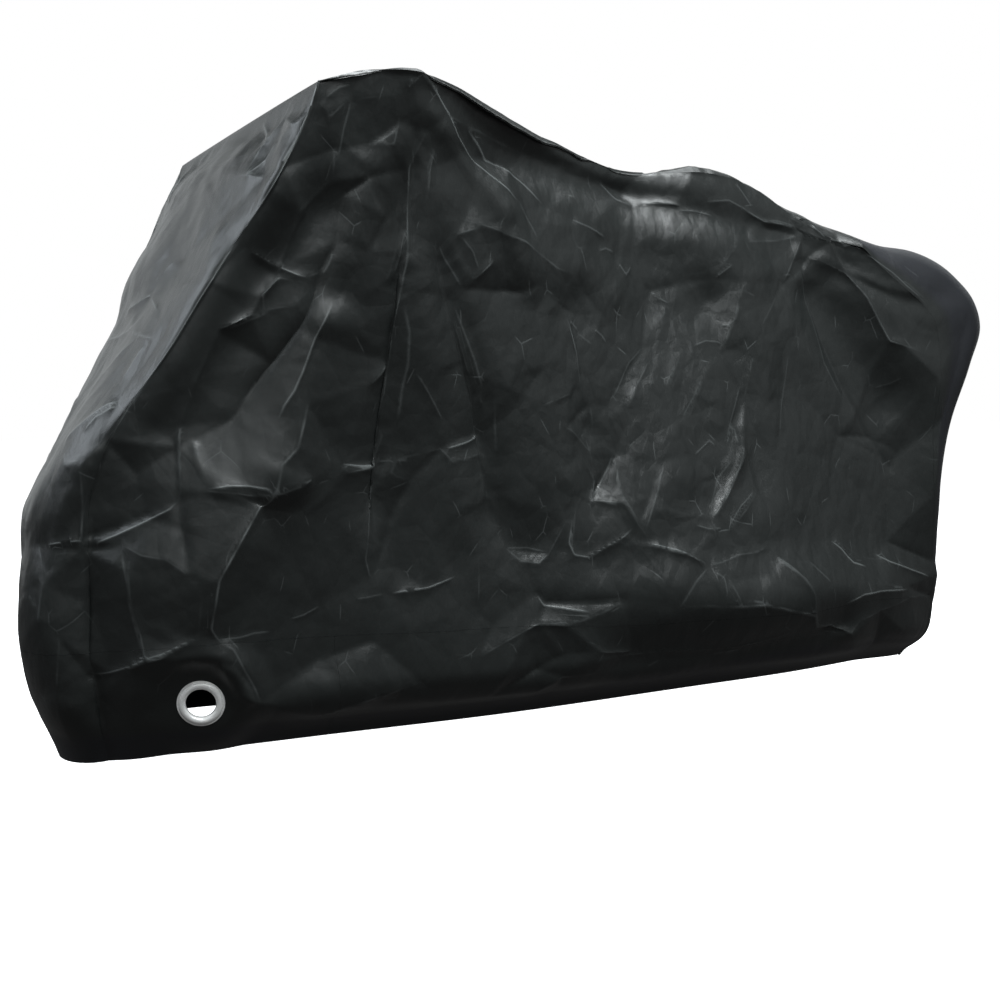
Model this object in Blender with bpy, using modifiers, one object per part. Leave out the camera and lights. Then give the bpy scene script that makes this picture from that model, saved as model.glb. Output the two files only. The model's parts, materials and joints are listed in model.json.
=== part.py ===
"""Bicycle cover: a fitted cover of thin coated cloth, in the shape it hangs in.

The cover is the hollow skin of cloth alone.  Its front points to -X, the side that is
seen most is toward -Y, and +Z is up.  The tables measure from the ground below the
bicycle's middle.  The finished pieces measure from the hang point, just under the top
where the saddle bears the cloth, so the origin lies there.

How it is put together:

* five panels: front, top, rear and two sides;
* a hem strip in two lengths along the lower edge: the front length runs round the
  nose and holds the two eyelets, and the rear length runs round the tail;
* two large metal eyelets, one on each side near the nose, with open holes.

One skin is worked out first, from tables of sections and folds.  Each piece is then a
stretch of that skin, thickened inward along the skin's shared normals, so that
neighbouring pieces meet in a mitre with a narrow seam gap between them.

Units are metres.
"""

import math
from typing import NamedTuple

import bmesh
import bpy
import numpy as np
from mathutils import Matrix, Vector

# ---------------------------------------------------------------- cloth and seams
CLOTH_THICKNESS = 0.0020
SEAM_GAP = 0.0003
WELD_DISTANCE = 0.00001   # points closer than this are one point
STRIP_START = 0.84        # share of the way down a side at which the hem strip begins
STRIP_SPLIT = 0.20        # share of the way along a side at which the strip is joined

# ---------------------------------------------------------------- skin resolution
SIDE_STEPS = 34           # columns of cells along a side
SIDE_CROWDING = 0.35      # how much finer the columns are toward the nose
END_STEPS = 8             # columns of cells across the front, the top and the rear
PANEL_ROWS = 14           # rows of cells from the top edge down to the hem strip
STRIP_ROWS = 5            # rows of cells in the hem strip

# ---------------------------------------------------------------- eyelets
EYELET_HOLE_RADIUS = 0.0225
EYELET_BARREL_RADIUS = 0.0245
EYELET_FLANGE_RADIUS = 0.0360
EYELET_WASHER_RADIUS = 0.0335
EYELET_SEAT_GAP = 0.0003
EYELET_FACE_HEIGHT = 0.0032
EYELET_EDGE_HEIGHT = 0.0012
EYELET_FACE_INNER = 0.0270
EYELET_FACE_OUTER = 0.0320
EYELET_LIP_HEIGHT = 0.0024
EYELET_SEGMENTS = 48
CLOTH_HOLE_RADIUS = 0.0250
CLOTH_HOLE_DEPTH = 0.0200
FLAT_RADIUS = 0.085       # the cloth is held flat this far around an eyelet
FLAT_BLEND_RADIUS = 0.165

# ---------------------------------------------------------------- how the sides hang
BELLY = 0.0127            # how far a side swells out above the gathered hem
BELLY_HEIGHT_POWER = 3.0  # the higher, the lower down a side the swell is fullest
HALF_ROUND = 0.5          # fullness of a span that is half of an ellipse
PARABOLA = 1.0            # fullness of a span that is flatter toward its ends
TUCK = 0.022              # how far the hem itself is drawn back in
TUCK_START = 0.93         # share of the way down a side at which the tuck starts
SIDE_FADE = 0.10          # folds fade out over this share of a side at its ends
TOP_FADE = 0.05           # and over this share below the top edge
FOLD_TAPER = 0.18         # a fold dies away over this share of its length at each end

# ---------------------------------------------------------------- where the cover hangs
HANG_POINT = (0.250, 0.000, 1.056)    # above the ground, under the cloth on the saddle


class Finish(NamedTuple):
    """A plain finish: its name, linear colour, roughness and how metallic it is."""

    name: str
    colour: tuple
    roughness: float
    metallic: float


CLOTH_FINISH = Finish("coated_cloth", (0.012, 0.014, 0.014, 1.0), 0.38, 0.0)
STRIP_FINISH = Finish("hem_cloth", (0.011, 0.011, 0.014, 1.0), 0.45, 0.0)
METAL_FINISH = Finish("nickel_eyelet", (0.78, 0.79, 0.80, 1.0), 0.22, 1.0)


class Section(NamedTuple):
    """One line across the skin: its near end, the crest halfway and its far end."""

    near_x: float
    near_y: float
    near_z: float
    crest_x: float
    crest_z: float
    far_x: float
    far_y: float
    far_z: float


class Point(NamedTuple):
    """A place on the hem line."""

    x: float
    y: float
    z: float


class Fold(NamedTuple):
    """A ridge (rise above zero) or trough (below) along a path in side view."""

    half_width: float
    rise: float
    path: tuple


class Eyelet(NamedTuple):
    """An eyelet's name, centre on the outer face, and the way it faces, in degrees."""

    name: str
    side: int
    x: float
    y: float
    z: float
    yaw: float
    dip: float


# The front, from the handlebar's line down to the hem at the nose.
FRONT_SECTIONS = (
    Section(-0.537, -0.280, 1.123, -0.545, 1.097, -0.571, 0.260, 1.055),
    Section(-0.566, -0.265, 1.039, -0.600, 1.030, -0.600, 0.252, 1.005),
    Section(-0.608, -0.245, 0.956, -0.650, 0.950, -0.648, 0.230, 0.915),
    Section(-0.646, -0.225, 0.892, -0.690, 0.885, -0.672, 0.215, 0.860),
    Section(-0.687, -0.200, 0.820, -0.730, 0.815, -0.705, 0.188, 0.790),
    Section(-0.734, -0.175, 0.735, -0.775, 0.730, -0.760, 0.150, 0.705),
    Section(-0.785, -0.145, 0.655, -0.822, 0.650, -0.800, 0.120, 0.640),
    Section(-0.820, -0.120, 0.580, -0.866, 0.580, -0.820, 0.110, 0.580),
    Section(-0.838, -0.107, 0.504, -0.890, 0.504, -0.838, 0.107, 0.504),
    Section(-0.840, -0.105, 0.430, -0.903, 0.430, -0.840, 0.105, 0.430),
    Section(-0.840, -0.105, 0.350, -0.904, 0.350, -0.840, 0.105, 0.350),
    Section(-0.840, -0.103, 0.280, -0.896, 0.280, -0.840, 0.103, 0.280),
    Section(-0.830, -0.100, 0.210, -0.880, 0.210, -0.830, 0.100, 0.210),
    Section(-0.820, -0.090, 0.153, -0.866, 0.150, -0.820, 0.090, 0.153),
    Section(-0.810, -0.080, 0.112, -0.853, 0.106, -0.810, 0.080, 0.112),
)

# The top, from the handlebar's line over the grips and the saddle to the tail.
TOP_SECTIONS = (
    Section(-0.537, -0.280, 1.123, -0.545, 1.097, -0.571, 0.260, 1.055),
    Section(-0.465, -0.294, 1.142, -0.485, 1.115, -0.530, 0.285, 1.068),
    Section(-0.393, -0.300, 1.146, -0.430, 1.120, -0.490, 0.300, 1.078),
    Section(-0.327, -0.270, 1.140, -0.370, 1.118, -0.420, 0.285, 1.083),
    Section(-0.201, -0.210, 1.115, -0.240, 1.100, -0.270, 0.225, 1.080),
    Section(-0.078, -0.150, 1.086, -0.100, 1.080, -0.110, 0.155, 1.066),
    Section(0.018, -0.112, 1.064, 0.010, 1.066, 0.010, 0.112, 1.055),
    Section(0.091, -0.088, 1.052, 0.090, 1.058, 0.090, 0.088, 1.048),
    Section(0.183, -0.078, 1.049, 0.183, 1.057, 0.183, 0.078, 1.046),
    Section(0.301, -0.074, 1.050, 0.300, 1.060, 0.301, 0.074, 1.047),
    Section(0.372, -0.070, 1.043, 0.375, 1.053, 0.372, 0.070, 1.040),
    Section(0.469, -0.074, 1.000, 0.475, 1.016, 0.469, 0.074, 0.998),
    Section(0.520, -0.083, 0.975, 0.540, 0.998, 0.520, 0.083, 0.975),
    Section(0.577, -0.100, 0.945, 0.585, 0.983, 0.577, 0.100, 0.945),
    Section(0.629, -0.115, 0.930, 0.629, 0.966, 0.629, 0.115, 0.930),
)

# The rear, from the end of the top round the stuffed-out tail and down to the hem.
REAR_SECTIONS = (
    Section(0.629, -0.115, 0.930, 0.629, 0.966, 0.629, 0.115, 0.930),
    Section(0.660, -0.120, 0.905, 0.720, 0.948, 0.660, 0.120, 0.905),
    Section(0.700, -0.125, 0.875, 0.820, 0.940, 0.700, 0.125, 0.875),
    Section(0.735, -0.130, 0.850, 0.900, 0.925, 0.735, 0.130, 0.850),
    Section(0.772, -0.130, 0.826, 0.962, 0.895, 0.772, 0.130, 0.826),
    Section(0.800, -0.135, 0.795, 1.008, 0.850, 0.800, 0.135, 0.795),
    Section(0.810, -0.135, 0.755, 1.030, 0.795, 0.810, 0.135, 0.755),
    Section(0.812, -0.140, 0.700, 1.003, 0.715, 0.812, 0.140, 0.700),
    Section(0.806, -0.140, 0.600, 0.946, 0.600, 0.806, 0.140, 0.600),
    Section(0.802, -0.140, 0.500, 0.910, 0.500, 0.802, 0.140, 0.500),
    Section(0.811, -0.130, 0.400, 0.899, 0.400, 0.811, 0.130, 0.400),
    Section(0.815, -0.120, 0.310, 0.898, 0.310, 0.815, 0.120, 0.310),
    Section(0.818, -0.105, 0.246, 0.891, 0.240, 0.818, 0.105, 0.246),
    Section(0.810, -0.080, 0.176, 0.867, 0.172, 0.810, 0.080, 0.176),
    Section(0.795, -0.050, 0.130, 0.824, 0.124, 0.795, 0.050, 0.130),
)

# The near hem, from the nose to the tail.  The far hem is its mirror image.
HEM_LINE = (
    Point(-0.810, -0.080, 0.112),
    Point(-0.774, -0.120, 0.118),
    Point(-0.693, -0.158, 0.126),
    Point(-0.467, -0.165, 0.128),
    Point(-0.169, -0.160, 0.127),
    Point(0.216, -0.150, 0.133),
    Point(0.491, -0.130, 0.135),
    Point(0.671, -0.095, 0.135),
    Point(0.795, -0.050, 0.130),
)

NEAR_FOLDS = (
    Fold(0.070, -0.045, ((-0.500, 1.043), (-0.620, 0.865), (-0.716, 0.714), (-0.800, 0.540))),
    Fold(0.050, 0.018, ((-0.500, 0.830), (-0.548, 0.662), (-0.600, 0.500))),
    Fold(0.030, -0.016, ((-0.392, 1.080), (-0.404, 0.827), (-0.417, 0.661), (-0.439, 0.413))),
    Fold(0.034, -0.014, ((-0.354, 0.977), (-0.319, 0.829), (-0.252, 0.658), (-0.201, 0.397))),
    Fold(0.030, 0.012, ((-0.393, 1.120), (-0.276, 1.044), (-0.190, 0.960), (-0.120, 0.800))),
    Fold(0.035, -0.016, ((-0.300, 1.090), (-0.010, 1.020), (0.264, 0.980), (0.560, 0.925))),
    Fold(0.050, 0.018, ((-0.153, 0.327), (0.216, 0.310), (0.607, 0.300), (0.780, 0.280))),
    Fold(0.040, -0.018, ((-0.064, 0.224), (0.279, 0.219), (0.609, 0.240))),
    Fold(0.060, -0.022, ((0.514, 0.900), (0.604, 0.758), (0.740, 0.600))),
    Fold(0.070, 0.014, ((0.050, 0.900), (0.100, 0.700), (0.200, 0.450))),
    Fold(0.050, -0.012, ((-0.060, 0.880), (-0.040, 0.650), (0.000, 0.420))),
    Fold(0.045, -0.014, ((0.250, 0.900), (0.330, 0.650), (0.350, 0.420))),
)

FAR_FOLDS = (
    Fold(0.070, -0.035, ((-0.530, 0.980), (-0.640, 0.830), (-0.780, 0.560))),
    Fold(0.040, -0.016, ((-0.470, 1.000), (-0.460, 0.750), (-0.480, 0.450))),
    Fold(0.045, -0.014, ((-0.330, 0.980), (-0.250, 0.700), (-0.180, 0.420))),
    Fold(0.035, -0.014, ((-0.300, 1.030), (0.000, 1.000), (0.300, 0.980), (0.560, 0.920))),
    Fold(0.050, 0.016, ((-0.300, 0.320), (0.100, 0.300), (0.600, 0.300))),
    Fold(0.060, -0.018, ((0.500, 0.880), (0.620, 0.740), (0.740, 0.560))),
    Fold(0.060, 0.014, ((0.060, 0.880), (0.120, 0.650), (0.180, 0.400))),
)

EYELETS = (
    Eyelet("eyelet_near", -1, -0.697, -0.184, 0.209, -22.0, -9.0),
    Eyelet("eyelet_far", 1, -0.697, 0.184, 0.209, -22.0, -9.0),
)

PIECES = ("front_panel", "top_panel", "rear_panel", "side_panel_near", "side_panel_far",
          "hem_strip_front", "hem_strip_rear")


# ---------------------------------------------------------------- curves through tables
def travel(points):
    """Return each point's share, 0 to 1, of the way along the line they make."""
    steps = np.linalg.norm(np.diff(points, axis=0), axis=1)
    along = np.concatenate([[0.0], np.cumsum(steps)])
    return along / along[-1]


def curve(at, knots, values):
    """Read a smooth curve through the rows of values at the shares in at."""
    slopes = np.gradient(values, knots, axis=0)
    row = np.clip(np.searchsorted(knots, at, side="right") - 1, 0, len(knots) - 2)
    width = (knots[row + 1] - knots[row])[:, None]
    u = (at - knots[row])[:, None] / width
    start = (1 + 2 * u) * (1 - u) ** 2 * values[row] + u * (1 - u) ** 2 * width * slopes[row]
    end = u ** 2 * (3 - 2 * u) * values[row + 1] - u ** 2 * (1 - u) * width * slopes[row + 1]
    return start + end


def smooth_step(value):
    """Rise softly from 0 to 1 as the value goes from 0 to 1."""
    value = np.clip(value, 0.0, 1.0)
    return value * value * (3.0 - 2.0 * value)


def section_lines(sections, at):
    """Return the near, crest and far points of a table of sections at the shares in at."""
    table = np.array(sections)
    near, far = table[:, 0:3], table[:, 5:8]
    crest = np.column_stack([table[:, 3], (near[:, 1] + far[:, 1]) / 2, table[:, 4]])
    knots = travel(near)
    return curve(at, knots, near), curve(at, knots, crest), curve(at, knots, far)


def across(lines, w, fullness):
    """Span each section from its near to its far line: w runs from -1 to 1.

    The fullness is from HALF_ROUND to PARABOLA.
    """
    near, crest, far = (line[None, :, :] for line in lines)
    w = w[:, None, None]
    rise = np.clip(1.0 - w * w, 0.0, 1.0) ** fullness
    return near * (1 - w) / 2 + far * (1 + w) / 2 + (crest - (near + far) / 2) * rise


# ---------------------------------------------------------------- the skin's grids
def side_columns():
    """Return the shares along a side at which its columns stand, crowded at the nose."""
    even = np.linspace(0.0, 1.0, SIDE_STEPS + 1)
    return even * (1 - SIDE_CROWDING) + even ** 2 * SIDE_CROWDING


def side_rows():
    """Return the shares down a side at which its rows lie, the hem strip's included."""
    panel = np.linspace(0.0, STRIP_START, PANEL_ROWS + 1)
    strip = np.linspace(STRIP_START, 1.0, STRIP_ROWS + 1)
    return np.concatenate([panel, strip[1:]])


def end_columns():
    """Return the places across an end, -1 near to 1 far, evenly spaced round an arc."""
    return np.sin(np.linspace(-math.pi / 2, math.pi / 2, END_STEPS + 1))


def fold_rise(points, folds):
    """Add up the rises of all folds at the points, which are seen from the side."""
    seen = points[..., [0, 2]]
    total = np.zeros(seen.shape[:-1])
    for fold in folds:
        path = np.array(fold.path)
        ends = travel(path)
        best = np.full(total.shape, np.inf)
        share = np.zeros(total.shape)
        for start, stop, first, last in zip(path[:-1], path[1:], ends[:-1], ends[1:]):
            run = stop - start
            along = np.clip((seen - start) @ run / (run @ run), 0.0, 1.0)
            gap = np.linalg.norm(seen - start - along[..., None] * run, axis=-1)
            closer = gap < best
            best = np.where(closer, gap, best)
            share = np.where(closer, first + along * (last - first), share)
        taper = smooth_step(np.minimum(share, 1.0 - share) / FOLD_TAPER)
        total += fold.rise * taper * np.exp(-(best / fold.half_width) ** 2)
    return total


def belly_shape(t):
    """Return how the swell goes down a side: nothing at its top and hem, fullest low down."""
    return t ** BELLY_HEIGHT_POWER * (1 - t)


def side_grid(side, folds):
    """Return one side as a grid of points, columns from nose to tail, rows going down."""
    s, t = side_columns(), side_rows()
    pick = 0 if side < 0 else 2
    top = section_lines(TOP_SECTIONS, s)[pick][:, None, :]
    front = section_lines(FRONT_SECTIONS, t)[pick][None, :, :]
    rear = section_lines(REAR_SECTIONS, t)[pick][None, :, :]
    hem_points = np.array(HEM_LINE) * (1.0, -side, 1.0)
    hem = curve(s, travel(hem_points), hem_points)[:, None, :]
    u, v = s[:, None, None], t[None, :, None]
    corners = ((1 - u) * (1 - v) * top[:1] + u * (1 - v) * top[-1:]
               + (1 - u) * v * hem[:1] + u * v * hem[-1:])
    grid = (1 - v) * top + v * hem + (1 - u) * front + u * rear - corners
    ends = smooth_step(np.minimum(s, 1 - s) / SIDE_FADE)[:, None]
    swell = BELLY * belly_shape(t) / belly_shape(BELLY_HEIGHT_POWER / (BELLY_HEIGHT_POWER + 1))
    tuck = smooth_step((t - TUCK_START) / (1 - TUCK_START)) * TUCK
    folded = fold_rise(grid, folds) * smooth_step(t / TOP_FADE)[None, :]
    grid[..., 1] += side * ends * ((swell - tuck)[None, :] + folded)
    return grid


def end_grid(sections):
    """Return the front or the rear as a grid, columns from near to far, rows going down."""
    return across(section_lines(sections, side_rows()), end_columns(), HALF_ROUND)


def top_grid():
    """Return the top as a grid, columns from front to rear, rows from near to far."""
    s = side_columns()
    fullness = HALF_ROUND + (PARABOLA - HALF_ROUND) * np.sin(math.pi * s)
    spans = across(section_lines(TOP_SECTIONS, s), end_columns(), fullness[None, :, None])
    return np.swapaxes(spans, 0, 1)


# ---------------------------------------------------------------- eyelet frames
def eyelet_frame(eyelet):
    """Return the matrix, above the ground, that turns local +Z the way an eyelet faces."""
    yaw, dip = math.radians(eyelet.yaw), math.radians(eyelet.dip)
    facing = Vector((math.sin(yaw) * math.cos(dip),
                     eyelet.side * math.cos(yaw) * math.cos(dip), math.sin(dip)))
    turn = facing.to_track_quat("Z", "Y").to_matrix().to_4x4()
    return Matrix.Translation((eyelet.x, eyelet.y, eyelet.z)) @ turn


def press_flat(points):
    """Press the skin onto the plane of each eyelet near it, fading out with distance.

    Returns the points, and for each one the eyelet plane's normal where it is flat.
    """
    normals = np.zeros_like(points)
    for eyelet in EYELETS:
        frame = np.array(eyelet_frame(eyelet))
        centre, facing = frame[:3, 3], frame[:3, 2]
        height = (points - centre) @ facing
        reach = np.linalg.norm(points - centre - height[:, None] * facing, axis=1)
        blend = (reach - FLAT_RADIUS) / (FLAT_BLEND_RADIUS - FLAT_RADIUS)
        hold = (1.0 - smooth_step(blend)) * (points[:, 1] * eyelet.side > 0)
        points = points - (hold * height)[:, None] * facing
        normals[hold >= 1.0] = facing
    return points, normals


def hung_frame(eyelet):
    """Return the eyelet's matrix as measured from the hang point."""
    return Matrix.Translation(HANG_POINT).inverted() @ eyelet_frame(eyelet)


# ---------------------------------------------------------------- the skin as a mesh
def strip_name(column):
    """Return the hem strip's length that a column of a side belongs to."""
    return "hem_strip_front" if side_columns()[column] < STRIP_SPLIT else "hem_strip_rear"


def lay_grid(skin, layer, grid, namer, flip):
    """Add a grid to the skin as triangles, each tagged with the piece that it is in."""
    verts = [[skin.verts.new(point) for point in column] for column in grid]
    for i in range(len(verts) - 1):
        for j in range(len(verts[0]) - 1):
            ring = [verts[i][j], verts[i][j + 1], verts[i + 1][j + 1], verts[i + 1][j]]
            if flip:
                ring.reverse()
            for triple in ((0, 1, 2), (0, 2, 3)):
                face = skin.faces.new([ring[k] for k in triple])
                face[layer] = PIECES.index(namer(i, j))


def build_skin():
    """Return the whole skin as one welded mesh with a piece tag on each face."""
    skin = bmesh.new()
    layer = skin.faces.layers.int.new("piece")

    def end_namer(panel, strip):
        return lambda i, j: panel if j < PANEL_ROWS else strip

    def side_namer(panel):
        return lambda i, j: panel if j < PANEL_ROWS else strip_name(i)

    lay_grid(skin, layer, end_grid(FRONT_SECTIONS),
             end_namer("front_panel", "hem_strip_front"), True)
    lay_grid(skin, layer, end_grid(REAR_SECTIONS),
             end_namer("rear_panel", "hem_strip_rear"), False)
    lay_grid(skin, layer, side_grid(-1, NEAR_FOLDS), side_namer("side_panel_near"), False)
    lay_grid(skin, layer, side_grid(1, FAR_FOLDS), side_namer("side_panel_far"), True)
    lay_grid(skin, layer, top_grid(), lambda i, j: "top_panel", True)
    bmesh.ops.remove_doubles(skin, verts=skin.verts, dist=WELD_DISTANCE)
    flat, facing = press_flat(np.array([vert.co for vert in skin.verts]))
    for vert, point in zip(skin.verts, flat - HANG_POINT):
        vert.co = point
    skin.verts.index_update()
    skin.normal_update()
    for vert, normal in zip(skin.verts, facing):
        if normal.any():
            vert.normal = normal
    return skin, layer


def drawn_back(vert, layer, tag):
    """Return the vertex moved into its piece, to half the seam gap from each of its seams."""
    inward = []
    for edge in vert.link_edges:
        own = [face for face in edge.link_faces if face[layer] == tag]
        if len(own) == 1 and len(edge.link_faces) == 2:
            square = (edge.other_vert(vert).co - vert.co).cross(vert.normal).normalized()
            toward_piece = own[0].calc_center_median() - vert.co
            inward.append(square if square.dot(toward_piece) > 0 else -square)
    if not inward:
        return vert.co.copy()
    middle = sum(inward, Vector()).normalized()
    return vert.co + middle * SEAM_GAP / 2 / min(middle.dot(square) for square in inward)


def cloth_piece(skin, layer, name, material):
    """Build one piece: its stretch of the skin, thickened inward and closed round its rim.

    A rim's cells are split from the outer corner of the lower index, so that the two
    pieces at a seam have matching rims.
    """
    tag = PIECES.index(name)
    own = [face for face in skin.faces if face[layer] == tag]
    solid = bmesh.new()
    outer, inner = {}, {}
    for vert in {corner for face in own for corner in face.verts}:
        place = drawn_back(vert, layer, tag)
        outer[vert] = solid.verts.new(place)
        inner[vert] = solid.verts.new(place - vert.normal * CLOTH_THICKNESS)
    for face in own:
        solid.faces.new([outer[vert] for vert in face.verts])
        solid.faces.new([inner[vert] for vert in reversed(face.verts)])
        for loop in face.loops:
            shared = [other for other in loop.edge.link_faces if other[layer] == tag]
            if len(shared) == 1:
                start, stop = loop.vert, loop.link_loop_next.vert
                rim = [outer[stop], outer[start], inner[start], inner[stop]]
                if start.index < stop.index:
                    rim = rim[1:] + rim[:1]
                solid.faces.new(rim[:3])
                solid.faces.new([rim[0], rim[2], rim[3]])
    mesh = bpy.data.meshes.new(name)
    solid.to_mesh(mesh)
    solid.free()
    mesh.materials.append(material)
    return bpy.data.objects.new(name, mesh)


# ---------------------------------------------------------------- eyelets
def eyelet_profile():
    """Return the eyelet's closed outline as (radius, height over the cloth's face)."""
    under = EYELET_SEAT_GAP
    back = -CLOTH_THICKNESS - EYELET_SEAT_GAP
    return (
        (EYELET_BARREL_RADIUS, under),
        (EYELET_FLANGE_RADIUS, under),
        (EYELET_FLANGE_RADIUS, EYELET_EDGE_HEIGHT),
        (EYELET_FACE_OUTER, EYELET_FACE_HEIGHT),
        (EYELET_FACE_INNER, EYELET_FACE_HEIGHT),
        (EYELET_BARREL_RADIUS, EYELET_LIP_HEIGHT),
        (EYELET_HOLE_RADIUS, EYELET_EDGE_HEIGHT),
        (EYELET_HOLE_RADIUS, back - EYELET_EDGE_HEIGHT),
        (EYELET_BARREL_RADIUS, back - EYELET_LIP_HEIGHT),
        (EYELET_FACE_INNER, back - EYELET_LIP_HEIGHT),
        (EYELET_WASHER_RADIUS, back - EYELET_EDGE_HEIGHT),
        (EYELET_WASHER_RADIUS, back),
        (EYELET_BARREL_RADIUS, back),
    )


def build_eyelet(eyelet, material):
    """Turn the eyelet's outline about its axis and set it in its place."""
    outline = eyelet_profile()
    mesh = bpy.data.meshes.new(eyelet.name)
    edges = [(i, (i + 1) % len(outline)) for i in range(len(outline))]
    mesh.from_pydata([(radius, 0.0, height) for radius, height in outline], edges, [])
    mesh.materials.append(material)
    ring = bpy.data.objects.new(eyelet.name, mesh)
    ring.matrix_world = hung_frame(eyelet)
    turn = ring.modifiers.new("turn", "SCREW")
    turn.axis = "Z"
    turn.steps = turn.render_steps = EYELET_SEGMENTS
    turn.use_merge_vertices = True
    turn.merge_threshold = WELD_DISTANCE
    turn.use_normal_flip = True
    return ring


def build_hole_cutter(eyelet):
    """Return the round cutter that opens the cloth for an eyelet's barrel."""
    shape = bmesh.new()
    bmesh.ops.create_cone(shape, cap_ends=True, segments=EYELET_SEGMENTS,
                          radius1=CLOTH_HOLE_RADIUS, radius2=CLOTH_HOLE_RADIUS,
                          depth=CLOTH_HOLE_DEPTH)
    mesh = bpy.data.meshes.new(f"{eyelet.name}_hole")
    shape.to_mesh(mesh)
    shape.free()
    cutter = bpy.data.objects.new(mesh.name, mesh)
    cutter.matrix_world = hung_frame(eyelet)
    cutter.hide_render = True
    cutter.display_type = "WIRE"
    return cutter


# ---------------------------------------------------------------- finishes and assembly
def make_material(finish):
    """Return a finish as a plain Principled material."""
    material = bpy.data.materials.new(finish.name)
    material.use_nodes = True
    shader = material.node_tree.nodes["Principled BSDF"]
    shader.inputs["Base Color"].default_value = finish.colour
    shader.inputs["Roughness"].default_value = finish.roughness
    shader.inputs["Metallic"].default_value = finish.metallic
    material.diffuse_color = finish.colour
    return material


def clear_scene():
    """Remove whatever the scene holds."""
    for item in list(bpy.data.objects):
        bpy.data.objects.remove(item, do_unlink=True)


def make_collection(name):
    """Return a new collection, linked to the scene."""
    collection = bpy.data.collections.new(name)
    bpy.context.scene.collection.children.link(collection)
    return collection


def main():
    """Build every piece of the cover."""
    clear_scene()
    cover = make_collection("bicycle_cover")
    cutters = make_collection("cutters")
    cloth = make_material(CLOTH_FINISH)
    strip = make_material(STRIP_FINISH)
    metal = make_material(METAL_FINISH)

    skin, layer = build_skin()
    pieces = {}
    for name in PIECES:
        material = strip if name.startswith("hem") else cloth
        pieces[name] = cloth_piece(skin, layer, name, material)
        cover.objects.link(pieces[name])
    skin.free()

    for eyelet in EYELETS:
        cover.objects.link(build_eyelet(eyelet, metal))
        cutter = build_hole_cutter(eyelet)
        cutters.objects.link(cutter)
        cut = pieces["hem_strip_front"].modifiers.new(cutter.name, "BOOLEAN")
        cut.operation = "DIFFERENCE"
        cut.solver = "EXACT"
        cut.object = cutter


main()
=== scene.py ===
"""Looks of a fitted bicycle cover made of thin, glossy, black coated cloth.

The whole cover is worked out first as one skin: smooth surfaces through tables of
sections, on which main folds, a net of creases, short creases and small crumpled facets
are laid.  Each panel and hem strip is then a stretch of that skin, given its own
thickness.  Its front points to -X, the side that is seen most is toward -Y, and +Z is up.
The tables measure from the ground near the cover's middle, in metres, and the finished
pieces from the hang point, as the solids of the frame do.
"""

from __future__ import annotations

import json
import logging
import math
from dataclasses import dataclass, field, replace
from enum import Enum
from typing import ClassVar, NamedTuple

import bpy
import numpy as np
from mathutils import Matrix, Vector
from mathutils.geometry import delaunay_2d_cdt

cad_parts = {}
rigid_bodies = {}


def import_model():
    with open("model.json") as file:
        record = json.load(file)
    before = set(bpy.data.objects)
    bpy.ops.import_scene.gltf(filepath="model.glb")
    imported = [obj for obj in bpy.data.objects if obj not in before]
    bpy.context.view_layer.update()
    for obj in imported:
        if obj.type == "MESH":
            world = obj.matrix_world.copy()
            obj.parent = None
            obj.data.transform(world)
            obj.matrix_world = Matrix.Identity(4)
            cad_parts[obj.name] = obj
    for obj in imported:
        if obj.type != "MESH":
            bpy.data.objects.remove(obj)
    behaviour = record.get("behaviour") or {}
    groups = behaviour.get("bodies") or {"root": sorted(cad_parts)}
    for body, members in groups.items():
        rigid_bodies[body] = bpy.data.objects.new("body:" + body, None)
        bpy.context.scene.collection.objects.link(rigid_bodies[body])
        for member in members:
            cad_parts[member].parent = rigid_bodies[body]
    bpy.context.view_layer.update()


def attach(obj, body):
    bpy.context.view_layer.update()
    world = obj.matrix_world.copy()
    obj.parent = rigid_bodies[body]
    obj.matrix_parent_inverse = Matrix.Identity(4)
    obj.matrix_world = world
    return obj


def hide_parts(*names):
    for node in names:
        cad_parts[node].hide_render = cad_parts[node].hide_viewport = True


LOG = logging.getLogger("bicycle_cover")
Array = np.ndarray
Colour = tuple[float, float, float, float]

HANG_POINT = (0.250, 0.000, 1.056)
CLOTH_THICKNESS = 0.0020
SEAM_GAP = 0.0003
BODY = "root"


# ------------------------------------------------------------------ rows of the tables
class Section(NamedTuple):
    """One line across the skin: its near end, the crest halfway and its far end."""

    near_x: float
    near_y: float
    near_z: float
    crest_x: float
    crest_z: float
    far_x: float
    far_y: float
    far_z: float


class HemPoint(NamedTuple):
    """A place on the near hem line."""

    x: float
    y: float
    z: float


class Lie(Enum):
    """How the cloth stands along the line of a fold."""

    ROUND = "a soft swell or trough"
    CRISP = "a sharp crest between straight flanks"
    LAPPED = "a sharp crest, steep on the left of its path and long on the right"


@dataclass(frozen=True)
class Fold:
    """A ridge (rise above zero) or trough (below) along a path in side view."""

    half_width: float
    rise: float
    path: tuple[tuple[float, float], ...]
    lie: Lie = Lie.ROUND

    FULL_WEAR_AND_HIGHLIGHT: ClassVar[float] = 0.0024     # a crest that rises this much gets the full line of rubbing and painted highlight
    REACH: ClassVar[float] = 4.0            # how many half-widths off it still shows
    TAPER: ClassVar[float] = 0.18           # share of its length over which an end dies away
    CREST: ClassVar[float] = 0.0012         # over this width a sharp crest is rounded off
    STEEP: ClassVar[float] = 0.4            # half-widths of a lapped fold's left flank
    LONG: ClassVar[float] = 1.6             # and of its right one


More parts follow.
